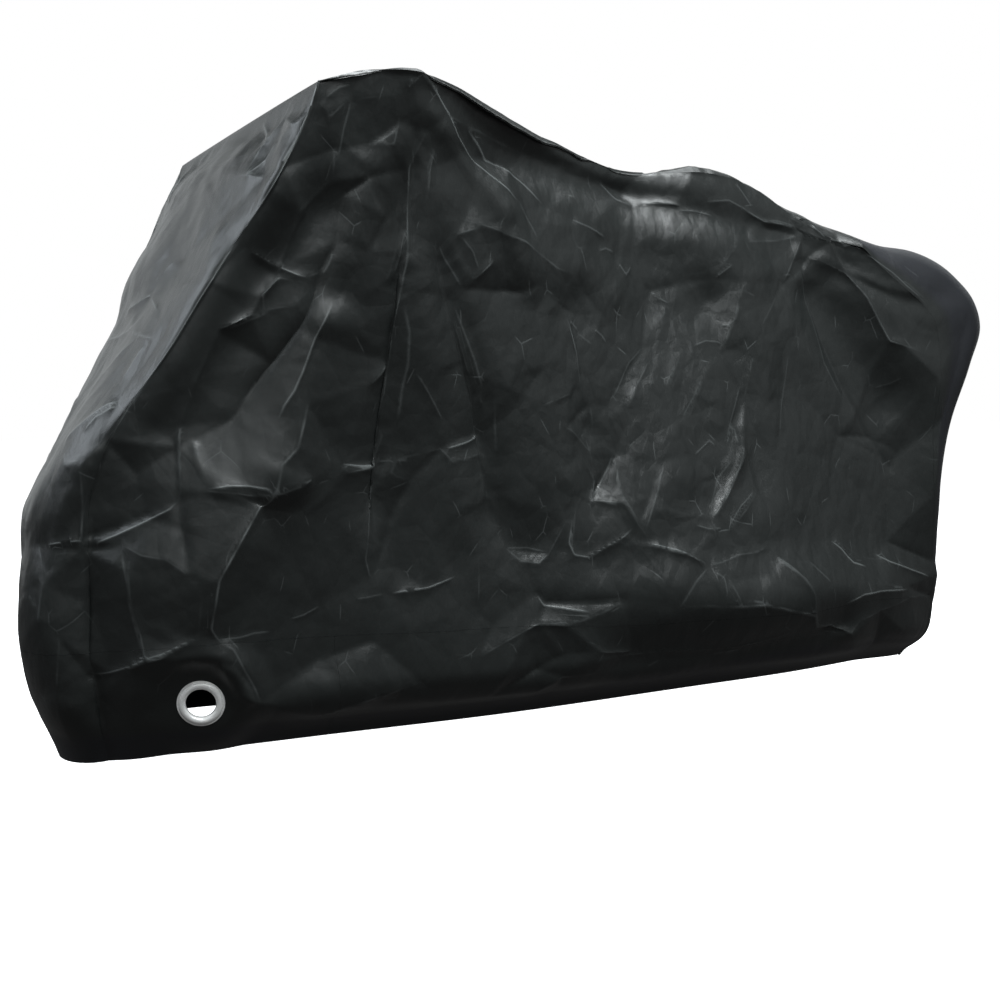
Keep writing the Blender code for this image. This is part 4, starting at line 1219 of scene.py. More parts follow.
    def unroll(self) -> tuple[Array, Array, Array]:
        """Give each point its side-view place as followed round from either side.

        On a side the place is (x, z).  On an end or the top, the distance round from the
        near or the far seam is added, so a crease runs on over a seam.

        Returns:
            Places followed from the near side, places followed from the far side, and
            the far side's share, 0 to 1, of each point.
        """
        near = self.points[:, [0, 2]].copy()
        far = near.copy()
        share = np.zeros(len(self.points))
        share[self.grids["far"]] = 1.0
        blend = smooth_step((self.spans() + 1.0) / 2.0)
        for name, axis, sign in (("front", 0, -1.0), ("rear", 0, 1.0), ("top", 1, 1.0)):
            ids = self.grids[name] if name != "top" else self.grids["top"].T
            grid = self.points[ids]
            steps = np.linalg.norm(np.diff(grid, axis=0), axis=2)
            along = np.concatenate([np.zeros((1, grid.shape[1])), np.cumsum(steps, axis=0)])
            inner = ids[1:-1]
            seen = grid[1:-1][..., [0, 2]]
            from_near, from_far = seen.copy(), seen.copy()
            edge = grid[..., [0, 2]][..., axis]
            from_near[..., axis] = edge[0] + sign * along[1:-1]
            from_far[..., axis] = edge[-1] + sign * (along[-1] - along[1:-1])
            near[inner], far[inner] = from_near, from_far
            share[inner] = blend[1:-1, None]
        return near, far, share

    def snap(self, net: CreaseNet, places: Array, names: tuple[str, ...]) -> None:
        """Slide the points nearest each crease along the cloth until they lie on it.

        The edges of the cells then follow the creases, which stay crisp and unbroken.
        Points on a seam or on the strip's edge stay where they are.

        Args:
            net: The net whose creases are followed.
            places: The points' side-view places as followed from the net's side, which
                move along with the points.
            names: The grids whose points may move.
        """
        shift, slack = np.zeros_like(places), np.full(len(places), -1.0)
        lean = {}
        for name in names:
            ids = self.grids[name]
            spots, solid = places[ids], self.points[ids]
            steps = [np.stack(np.gradient(values, axis=(0, 1)), axis=-1) for values in (spots, solid)]
            cell = np.linalg.norm(steps[0], axis=2).min(axis=2)
            inner = np.zeros(ids.shape, bool)
            inner[2:-2, 2:-2] = True
            if name != "top":
                inner[:, self.panel_rows - 1:self.panel_rows + 2] = False
            determinant = np.linalg.det(steps[0])
            inner &= np.abs(determinant) > self.skew_limit * cell**2
            slack[ids[inner]] = self.slide_share * cell[inner]
            lean[name] = (ids, inner, steps)
        net.pull(places, slack, shift, self.creased)
        for ids, inner, (flat_steps, solid_steps) in lean.values():
            moved = inner & self.creased[ids]
            share = np.linalg.solve(flat_steps[moved], shift[ids[moved]][..., None])
            self.points[ids[moved]] += (solid_steps[moved] @ share)[..., 0]
            places[ids[moved]] += shift[ids[moved]]

    def press_flat(self) -> None:
        """Press the skin onto each eyelet's plane near it, fading out with distance."""
        for place in EYELETS:
            frame = np.array(eyelet_frame(place))
            centre, facing = frame[:3, 3] + HANG_POINT, frame[:3, 2]
            height = (self.points - centre) @ facing
            reach = np.linalg.norm(self.points - centre - height[:, None] * facing, axis=1)
            blend = (reach - self.flat_radius) / (self.flat_blend_radius - self.flat_radius)
            hold = (1.0 - smooth_step(blend)) * (self.points[:, 1] * place.side > 0)
            self.points = self.points - (hold * height)[:, None] * facing

    def quiet(self) -> Array:
        """Return the share of its creases that each point keeps.

        It is 0 about the eyelets, along the hem's edge and at the top edge of both ends,
        low on the tail, and 1 on most of the cloth.
        """
        quiet = np.ones(len(self.points))
        for place in EYELETS:
            centre = np.array(eyelet_frame(place))[:3, 3] + HANG_POINT
            reach = np.linalg.norm(self.points - centre, axis=1)
            blend = (reach - self.calm_radius) / (self.calm_blend_radius - self.calm_radius)
            quiet *= smooth_step(blend)
        rows, columns = self.rows(), self.columns()
        start = smooth_step(rows / self.end_fade)[None, :]
        for name in ("front", "rear"):
            quiet[self.grids[name][1:-1]] *= start
        hem = (1.0 - smooth_step((rows - self.hem_fade_start) / self.hem_fade))[None, :]
        for name in ("near", "far"):
            quiet[self.grids[name]] *= hem
        for name in ("front", "rear"):
            quiet[self.grids[name][1:-1]] *= hem
        spans = (self.spans()[1:-1] + 1.0) / 2.0
        tail = smooth_step(np.minimum(spans, 1.0 - spans) / self.tail_fade)[:, None]
        quiet[self.grids["rear"][1:-1]] *= 1.0 - self.tail_calm * tail
        ends = smooth_step(np.minimum(columns, 1.0 - columns) / self.top_end_fade)[:, None]
        quiet[self.grids["top"][1:-1, 1:-1]] *= ends[1:-1]
        quiet[self.grids["front"][:, 0]] = 0.0
        quiet[self.grids["rear"][:, 0]] = 0.0
        return quiet

    def rub_and_highlight_seams(self) -> None:
        """Lighten a thin line down the front panel's two upper side seams: rubbing of the coating and
        painted highlight.
        """
        fade = 1.0 - smooth_step((self.rows() - self.seam_lit_worn_row) / self.seam_fade)
        count = self.seam_columns
        for side, step in (("near", 1), ("far", -1)):
            seam = self.points[self.grids[side][0]]
            for strip in (self.grids[side][:count], self.grids["front"][::step][:count]):
                gap = np.linalg.norm(self.points[strip] - seam, axis=2)
                self.gap[strip] = np.minimum(np.abs(self.gap[strip]), gap)
                near = np.maximum(1.0 - gap / Relief.WORN_LIT_REACH, 0.0)
                self.wear_and_highlight[strip] = np.maximum(self.wear_and_highlight[strip], self.seam_wear_and_highlight * fade * near)

    def smooth_band(self) -> Array:
        """Return how far each point is in the smooth hem band or on the smooth tail."""
        band = np.zeros(len(self.points))
        rows = self.rows()
        rise = smooth_step((rows - self.band_start) / self.band_edge)
        for name in ("near", "far", "front", "rear"):
            ids = self.grids[name]
            band[ids] = np.maximum(band[ids], rise[None, :])
        columns = self.columns()
        for name in ("near", "far"):
            widen = smooth_step((columns - self.widen_start) / self.widen_reach)[:, None]
            below = rows[None, :] - self.band_start + self.band_widening * widen
            deep = smooth_step(below / self.band_edge)
            band[self.grids[name]] = np.maximum(band[self.grids[name]], deep)
        spans = (self.spans() + 1.0) / 2.0
        tail = smooth_step(np.minimum(spans, 1.0 - spans) / self.tail_edge)[:, None]
        ids = self.grids["rear"]
        band[ids] = np.maximum(band[ids], tail * np.ones_like(rows)[None, :])
        return band

    def build(self) -> None:
        """Work out the whole skin: shape, folds, creases and facets."""
        self.weld()
        self.press_flat()
        self.find_normals()
        near_places, far_places, share = self.unroll()
        net = CreaseNet(NET_CORNERS, NET_CREASES)
        self.creased = np.zeros(len(self.points), bool)
        far_net = net.eased(FAR_NET_SHARE)
        self.snap(net, near_places, ("near", "front", "rear", "top"))
        self.snap(far_net, far_places, ("far",))
        near_side = CrumpledSide(stroke_folds(), (), NEAR_PATCHES, NEAR_SEED, net)
        far_side = CrumpledSide(stroke_folds()[::2], FAR_STREWS, FAR_PATCHES, FAR_SEED, far_net)
        lively = np.ones(len(self.points))
        for name in ("front", "top"):
            lively[self.grids[name]] = self.loose_share
        height, wear_and_highlight = np.zeros(len(self.points)), np.zeros(len(self.points))
        self.gap = np.full(len(self.points), Relief.FAR)
        for crumpled, places, part in ((near_side, near_places, 1.0 - share),
                                       (far_side, far_places, share)):
            used = np.flatnonzero(part > 0)
            relief = crumpled.read(places[used], lively[used])
            height[used] += part[used] * relief.height
            wear_and_highlight[used] += part[used] * relief.wear_and_highlight
            mostly = part[used] > 0.5
            self.gap[used[mostly]] = relief.gap[mostly]
        self.calm = self.smooth_band()
        quiet = self.quiet()
        self.points = self.points + self.normals * (height * quiet)[:, None] - HANG_POINT
        # Crest lightening: partly rubbing of the coating, partly painted highlight.
        self.wear_and_highlight = wear_and_highlight * quiet
        self.rub_and_highlight_seams()
        near_weight = patch_weight(NEAR_PATCHES, near_places, near_side.base_weight)
        far_weight = patch_weight(FAR_PATCHES, far_places, far_side.base_weight)
        self.busy = quiet * (near_weight * (1.0 - share) + far_weight * share)
        self.flat = near_places * (1.0 - share[:, None]) + far_places * share[:, None]
        self.find_normals()


def cell_rings(ids: Array, turned: bool) -> Array:
    """Return a grid's cells as rings of four indices.

    Args:
        ids: The grid of indices.
        turned: True where the rings have to run the other way to face outward.

    Returns:
        One ring a row.
    """
    ring = [ids[:-1, :-1], ids[:-1, 1:], ids[1:, 1:], ids[1:, :-1]]
    if turned:
        ring.reverse()
    return np.stack([corner.ravel() for corner in ring], axis=1)


def edge_walk(ids: Array) -> Array:
    """Return a grid's edge as one closed walk, in the order in which its cells run."""
    return np.concatenate([ids[0, :], ids[1:, -1], ids[-1, -2::-1], ids[-2:0:-1, 0]])


# ------------------------------------------------------------------ pieces of cloth
SHARP_ANGLE = 55.0


@dataclass(frozen=True)
class ClothCut:
    """A piece of cloth as its maker cuts it: its flat size and the cut's own area."""

    width: float
    length: float
    area: float


@dataclass
class ClothPiece:
    """A panel or strip: a stretch of the skin with its own thickness."""

    name: str
    slot: str
    cut: ClothCut
    ids: Array
    turned: bool
    hem_at_end: bool = False

    def outer_points(self, skin: Skin) -> Array:
        """Return the piece's outer face, drawn back from its seams by half the gap."""
        points = skin.points[self.ids].copy()
        drawn = points.copy()
        sides = [(np.s_[0, :], np.s_[1, :]), (np.s_[-1, :], np.s_[-2, :]), (np.s_[:, 0], np.s_[:, 1])]
        if not self.hem_at_end:
            sides.append((np.s_[:, -1], np.s_[:, -2]))
        for edge, beside in sides:
            inward = points[beside] - points[edge]
            length = np.linalg.norm(inward, axis=1, keepdims=True)
            drawn[edge] += inward / np.maximum(length, 1e-9) * SEAM_GAP / 2
        return drawn

    def build(self, skin: Skin) -> bpy.types.Object:
        """Make the piece's mesh.

        The outer face has every point of the grid, the inner one every second point a
        thickness below, and the rim joins them with five-sided cells.

        Args:
            skin: The skin that the piece is a stretch of.

        Returns:
            The piece's object.
        """
        outer = self.outer_points(skin)
        inner = (outer - skin.normals[self.ids] * CLOTH_THICKNESS)[::2, ::2]
        outer_ids = np.arange(self.ids.size).reshape(self.ids.shape)
        inner_ids = np.arange(inner.shape[0] * inner.shape[1]).reshape(inner.shape[:2]) + self.ids.size
        top, under = edge_walk(outer_ids), edge_walk(inner_ids)
        rims = np.stack([np.roll(top, -2)[::2], np.roll(top, -1)[::2], top[::2],
                         under, np.roll(under, -1)], axis=1)
        if self.turned:
            rims = rims[:, ::-1]
        cells = cell_rings(outer_ids, self.turned)
        marked = skin.creased[self.ids].ravel()[cells]
        across_it = marked[:, 1] & marked[:, 3] & ~(marked[:, 0] & marked[:, 2])
        cells[across_it] = np.roll(cells[across_it], -1, axis=1)
        quads = np.concatenate([cells, cell_rings(inner_ids, not self.turned)])
        points = np.concatenate([outer.reshape(-1, 3), inner.reshape(-1, 3)])
        mesh = mesh_from_faces(self.name, points, quads, rims)
        # The point values carried over include the crest lines of rubbing and painted highlight.
        for name, values in (("wear_and_highlight", skin.wear_and_highlight), ("gap", skin.gap), ("calm", skin.calm),
                             ("busy", skin.busy)):
            spread = values[self.ids]
            both = np.concatenate([spread.ravel(), spread[::2, ::2].ravel()])
            layer = mesh.attributes.new(name, "FLOAT", "POINT")
            layer.data.foreach_set("value", both.astype(np.float32))
        flat = skin.flat[self.ids]
        both = np.concatenate([flat.reshape(-1, 2), flat[::2, ::2].reshape(-1, 2)])
        corners = np.zeros(len(mesh.loops), np.int32)
        mesh.loops.foreach_get("vertex_index", corners)
        uv = mesh.uv_layers.new(name="cloth")
        uv.uv.foreach_set("vector", both[corners].astype(np.float32).ravel())
        return add_object(self.name, mesh)

    def declare(self, piece: bpy.types.Object, node: str) -> None:
        """Attach the piece to the body and hide the solid it stands for."""
        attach(piece, BODY)
        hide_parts(node)


def add_object(name: str, data: bpy.types.ID) -> bpy.types.Object:
    """Put a mesh, light or camera into the scene as an object."""
    made = bpy.data.objects.new(name, data)
    bpy.context.scene.collection.objects.link(made)
    return made


def mesh_from_faces(name: str, points: Array, *faces: Array) -> bpy.types.Mesh:
    """Make a smooth-shaded mesh from points and groups of equal-sided faces.

    Args:
        name: The mesh's name.
        points: One point a row.
        faces: For each group, one face a row.

    Returns:
        The mesh, with sharp edges only where it turns by more than SHARP_ANGLE degrees.
    """
    mesh = bpy.data.meshes.new(name)
    sizes = np.concatenate([np.full(len(group), group.shape[1]) for group in faces])
    loops = np.concatenate([group.ravel() for group in faces])
    mesh.vertices.add(len(points))
    mesh.vertices.foreach_set("co", points.astype(np.float32).ravel())
    mesh.loops.add(len(loops))
    mesh.loops.foreach_set("vertex_index", loops.astype(np.int32))
    mesh.polygons.add(len(sizes))
    starts = np.concatenate([[0], np.cumsum(sizes)[:-1]])
    mesh.polygons.foreach_set("loop_start", starts.astype(np.int32))
    mesh.update(calc_edges=True)
    mesh.validate()
    mesh.shade_smooth()
    mesh.set_sharp_from_angle(angle=math.radians(SHARP_ANGLE))
    return mesh


# ------------------------------------------------------------------ eyelets
def eyelet_frame(place: EyeletPlace) -> Matrix:
    """Return the matrix, from the hang point, that turns local +Z the way an eyelet faces."""
    yaw, dip = math.radians(place.yaw), math.radians(place.dip)
    facing = Vector((math.sin(yaw) * math.cos(dip),
                     place.side * math.cos(yaw) * math.cos(dip), math.sin(dip)))
    turn = facing.to_track_quat("Z", "Y").to_matrix().to_4x4()
    centre = Vector((place.x, place.y, place.z)) - Vector(HANG_POINT)
    return Matrix.Translation(centre) @ turn


@dataclass
class Eyelet:
    """A two-part metal eyelet: a flange with a rolled lip, a barrel and a back washer."""

    place: EyeletPlace
    hole_radius: float = 0.0225
    lip_radius: float = 0.0021
    flange_radius: float = 0.0360
    washer_radius: float = 0.0335
    seat_gap: float = 0.0003
    flange_height: float = 0.0022
    dome_half: float = 0.0055
    dome_height: float = 0.0045
    edge_radius: float = 0.0009
    segments: int = 144
    arc_steps: int = 14
    cloth_hole_radius: float = 0.0250
    barrel_gap: float = 0.0005
    groove_gap: float = 0.0004
    groove_rise: float = 1.4
    lip_drop: float = 0.6
    edge_arc: tuple[float, float] = (-90.0, 75.0)
    dome_arc: tuple[float, float] = (14.0, 180.0)
    lip_arc: tuple[float, float] = (180.0, 330.0)
    washer_arc: tuple[float, float] = (-75.0, 90.0)
    cutter_reach: float = 0.01

    def arc(self, centre: tuple[float, float], radius: float, start: float, stop: float,
            height: float | None = None) -> Array:
        """Return points on an arc, its angles in degrees from the outward direction.

        Args:
            centre: The arc's centre as (radius, height).
            radius: How far it reaches outward.
            start: The angle of its first point.
            stop: The angle of its last point.
            height: How far it reaches up, the same as the radius where it isn't given.

        Returns:
            One point a row.
        """
        turn = np.radians(np.linspace(start, stop, self.arc_steps))
        return np.column_stack([centre[0] + radius * np.cos(turn),
                                centre[1] + (height or radius) * np.sin(turn)])

    def outline(self) -> Array:
        """Return the closed outline as (radius, height), from the seat outward and over.

        It runs out under the flange, round its edge, in over the groove, over the fat
        rolled dome, down the barrel, round the back lip and out over the washer.
        """
        edge = self.edge_radius
        hole, dome_half = self.hole_radius, self.dome_half
        under = self.seat_gap
        back = -CLOTH_THICKNESS - self.seat_gap
        barrel = self.cloth_hole_radius - self.barrel_gap
        top = self.arc((self.flange_radius - edge, under + edge), edge, *self.edge_arc)
        groove_radius = hole + 2.0 * dome_half + self.groove_gap
        groove = np.array([[groove_radius, under + self.groove_rise * edge]])
        dome_centre = (hole + dome_half, under + edge)
        dome = self.arc(dome_centre, dome_half, *self.dome_arc, self.dome_height)
        lip_centre = (hole + self.lip_radius, back - self.flange_height * self.lip_drop)
        back_lip = self.arc(lip_centre, self.lip_radius, *self.lip_arc)
        washer = self.arc((self.washer_radius - edge, back - edge), edge, *self.washer_arc)
        seat = np.array([[barrel, back], [barrel, under]])
        return np.concatenate([top, groove, dome, back_lip, washer, seat])

    def build(self) -> bpy.types.Object:
        """Turn the outline about the eyelet's axis and set it in its place."""
        outline = self.outline()
        turn = np.linspace(0.0, 2.0 * math.pi, self.segments, endpoint=False)
        ring = np.stack([outline[None, :, 0] * np.cos(turn)[:, None],
                         outline[None, :, 0] * np.sin(turn)[:, None],
                         np.broadcast_to(outline[None, :, 1], (self.segments, len(outline)))], axis=-1)
        frame = np.array(eyelet_frame(self.place))
        points = ring.reshape(-1, 3) @ frame[:3, :3].T + frame[:3, 3]
        ids = np.arange(ring.shape[0] * ring.shape[1]).reshape(ring.shape[:2])
        closed = np.pad(ids, ((0, 1), (0, 1)), mode="wrap")
        mesh = mesh_from_faces(self.place.name + "_turned", points, cell_rings(closed, True))
        piece = add_object(mesh.name, mesh)
        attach(piece, BODY)
        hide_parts(self.place.name)
        return piece

    def cut_cloth(self, cloth: bpy.types.Object) -> None:
        """Open the cloth for the barrel with a round cutter, and remove the cutter."""
        turn = np.linspace(0.0, 2.0 * math.pi, self.segments, endpoint=False)
        round_ = np.column_stack([np.cos(turn), np.sin(turn)]) * self.cloth_hole_radius
        frame = np.array(eyelet_frame(self.place))
        walls = [np.column_stack([round_, np.full(self.segments, height)])
                 for height in (-self.cutter_reach, self.cutter_reach)]
        points = np.concatenate(walls) @ frame[:3, :3].T + frame[:3, 3]
        low = np.arange(self.segments)
        high = low + self.segments
        sides = np.stack([low, np.roll(low, -1), np.roll(high, -1), high], axis=1)
        mesh = mesh_from_faces("cutter", points, sides, low[::-1][None], high[None])
        cutter = add_object("cutter", mesh)
        cut = cloth.modifiers.new("eyelet hole", "BOOLEAN")
        cut.operation, cut.solver, cut.object = "DIFFERENCE", "EXACT", cutter
        bpy.context.view_layer.update()
        final = bpy.data.meshes.new_from_object(
            cloth.evaluated_get(bpy.context.evaluated_depsgraph_get()))
        cloth.modifiers.clear()
        cloth.data = final
        bpy.data.objects.remove(cutter, do_unlink=True)


# ------------------------------------------------------------------ finishes
NOISE_MIDDLE = (0.5, 0.5, 0.5)
CRINKLE_TURN = -25.0
CRINKLE_STRETCH = 0.72
# The two sizes of fine facets: cells a metre and height, as shares of the group's inputs.
CRINKLE_SIZES = ((1.0, 1.0), (2.3, 0.6))
# A painted highlight line shows on a crest where the noise is above this, and is at its full strength soon
# after.
CREST_CHANCE = 0.70
CREST_STEEPNESS = 10.0
# How many times finer the dust's specks are than its cloud.
SPECK_FINENESS = 22.0


class NodeKit:
    """Makes and joins the nodes of one tree."""

    def __init__(self, tree: bpy.types.NodeTree) -> None:
        """Keep the tree."""
        self.tree = tree

    def add(self, kind: str, **settings: object) -> bpy.types.Node:
        """Add a node.  Settings are its own properties, or inputs by their names.

        Args:
            kind: The node's type.
            settings: Property values, and socket values with spaces as underscores.

        Returns:
            The node.
        """
        node = self.tree.nodes.new(kind)
        for name, value in settings.items():
            if hasattr(node, name):
                setattr(node, name, value)
            else:
                node.inputs[name.replace("_", " ")].default_value = value
        return node

    def join(self, out: bpy.types.NodeSocket, into: bpy.types.NodeSocket) -> None:
        """Join an output to an input."""
        self.tree.links.new(out, into)

    def maths(self, operation: str, first: object, second: object = None) -> bpy.types.NodeSocket:
        """Add a Math node on numbers or outputs, and return its result."""
        node = self.tree.nodes.new("ShaderNodeMath")
        node.operation = operation
        for socket, value in zip(node.inputs, (first, second)):
            if isinstance(value, bpy.types.NodeSocket):
                self.join(value, socket)
            elif value is not None:
                socket.default_value = value
        return node.outputs[0]

    def mix_colours(self, share: object, first: object, second: object) -> bpy.types.NodeSocket:
        """Mix two colours by a share, each a value or an output, and return the mix."""
        node = self.tree.nodes.new("ShaderNodeMix")
        node.data_type = "RGBA"
        for socket, value in ((node.inputs[0], share), (node.inputs[6], first), (node.inputs[7], second)):
            if isinstance(value, bpy.types.NodeSocket):
                self.join(value, socket)
            else:
                socket.default_value = value
        return node.outputs[2]


def new_material(name: str) -> tuple[bpy.types.Material, NodeKit, bpy.types.Node]:
    """Start a material, and return it with its kit and its shader."""
    made = bpy.data.materials.new(name)
    made.use_nodes = True
    return made, NodeKit(made.node_tree), made.node_tree.nodes["Principled BSDF"]


def new_group(name: str, inputs: dict[str, float | None], outputs: tuple[str, ...]) -> tuple[
        bpy.types.NodeTree, NodeKit, bpy.types.Node, bpy.types.Node]:
    """Start a shader node group.

    Args:
        name: The group's name.
        inputs: Each input's name and first value, or None for a vector.
        outputs: The names of its outputs, all numbers.

    Returns:
        The group, its kit, its input node and its output node.
    """
    group = bpy.data.node_groups.new(name, "ShaderNodeTree")
    for label, value in inputs.items():
        kind = "NodeSocketVector" if value is None else "NodeSocketFloat"
        socket = group.interface.new_socket(label, in_out="INPUT", socket_type=kind)
        if value is not None:
            socket.default_value = value
    for label in outputs:
        group.interface.new_socket(label, in_out="OUTPUT", socket_type="NodeSocketFloat")
    kit = NodeKit(group)
    return group, kit, kit.add("NodeGroupInput"), kit.add("NodeGroupOutput")


def weave_group() -> bpy.types.NodeTree:
    """Make the weave: crossed threads whose crests show faintly through the coating."""
    group, kit, given, made = new_group(
        "cloth_weave", {"Place": None, "Threads a metre": 2600.0}, ("Height",))
    scaled = kit.add("ShaderNodeVectorMath", operation="SCALE")
    kit.join(given.outputs["Place"], scaled.inputs[0])
    kit.join(given.outputs["Threads a metre"], scaled.inputs["Scale"])
    split = kit.add("ShaderNodeSeparateXYZ")
    kit.join(scaled.outputs[0], split.inputs[0])
    warp = kit.maths("SINE", kit.maths("MULTIPLY", split.outputs[0], math.pi))
    weft = kit.maths("SINE", kit.maths("MULTIPLY", split.outputs[1], math.pi))
    kit.join(kit.maths("MULTIPLY", warp, weft), made.inputs["Height"])
    return group


def crinkle_group() -> bpy.types.NodeTree:
    """Make the finest creases: flat facets that meet in straight edges, in two sizes.

    Each facet's height is the distance to its cell's nearest edge, so it slopes evenly
    away from a straight crease.  The crest output is a thin painted highlight line along some of the
    larger edges.
    """
    group, kit, given, made = new_group(
        "fine_crinkle", {"Place": None, "Cells a metre": 24.0, "Warp": 0.020, "Crest width": 0.028},
        ("Height", "Crest highlight"))
    noise = kit.add("ShaderNodeTexNoise", noise_dimensions="2D", Scale=9.0, Detail=1.0)
    kit.join(given.outputs["Place"], noise.inputs["Vector"])
    centred = kit.add("ShaderNodeVectorMath", operation="SUBTRACT")
    centred.inputs[1].default_value = NOISE_MIDDLE
    kit.join(noise.outputs["Color"], centred.inputs[0])
    moved = kit.add("ShaderNodeVectorMath", operation="SCALE")
    kit.join(centred.outputs[0], moved.inputs[0])
    kit.join(given.outputs["Warp"], moved.inputs["Scale"])
    place = kit.add("ShaderNodeVectorMath", operation="ADD")
    kit.join(given.outputs["Place"], place.inputs[0])
    kit.join(moved.outputs[0], place.inputs[1])
    turned = kit.add("ShaderNodeMapping", vector_type="POINT")
    turned.inputs["Rotation"].default_value = (0.0, 0.0, math.radians(CRINKLE_TURN))
    turned.inputs["Scale"].default_value = (1.0, CRINKLE_STRETCH, 1.0)
    kit.join(place.outputs[0], turned.inputs["Vector"])
    heights: list[bpy.types.NodeSocket] = []
    edges: list[bpy.types.NodeSocket] = []
    for ratio, share in CRINKLE_SIZES:
        cells = kit.add("ShaderNodeTexVoronoi", voronoi_dimensions="2D", feature="DISTANCE_TO_EDGE")
        kit.join(turned.outputs[0], cells.inputs["Vector"])
        scale = kit.maths("MULTIPLY", given.outputs["Cells a metre"], ratio)
        kit.join(scale, cells.inputs["Scale"])
        metres = kit.maths("DIVIDE", cells.outputs["Distance"], scale)
        heights.append(kit.maths("MULTIPLY", metres, share))
        edges.append(cells.outputs["Distance"])
    kit.join(kit.maths("ADD", *heights), made.inputs["Height"])
    # The crest line, a painted highlight, follows the larger cells' edges.
    near_edge = kit.maths("DIVIDE", edges[0], given.outputs["Crest width"])
    line = kit.maths("MAXIMUM", kit.maths("SUBTRACT", 1.0, near_edge), 0.0)
    chance = kit.add("ShaderNodeTexNoise", noise_dimensions="2D", Scale=22.0, Detail=0.0)
    kit.join(given.outputs["Place"], chance.inputs["Vector"])
    above = kit.maths("SUBTRACT", chance.outputs[0], CREST_CHANCE)
    chosen = kit.maths("MAXIMUM", kit.maths("MULTIPLY", above, CREST_STEEPNESS), 0.0)
    crest = kit.maths("MULTIPLY", line, kit.maths("MINIMUM", chosen, 1.0))
    kit.join(crest, made.inputs["Crest highlight"])
    return group


def dust_group() -> bpy.types.NodeTree:
    """Make the dust and handling marks: a faint cloud broken up by fine specks."""
    group, kit, given, made = new_group("handling_dust", {"Place": None, "Scale": 9.0}, ("Amount",))
    cloud = kit.add("ShaderNodeTexNoise", Detail=6.0, Roughness=0.65)
    kit.join(given.outputs["Place"], cloud.inputs["Vector"])
    kit.join(given.outputs["Scale"], cloud.inputs["Scale"])
    fine = kit.add("ShaderNodeTexNoise", Detail=3.0, Roughness=0.6)
    kit.join(given.outputs["Place"], fine.inputs["Vector"])
    kit.join(kit.maths("MULTIPLY", given.outputs["Scale"], SPECK_FINENESS), fine.inputs["Scale"])
    kit.join(kit.maths("MULTIPLY", cloud.outputs[0], fine.outputs[0]), made.inputs["Amount"])
    return group


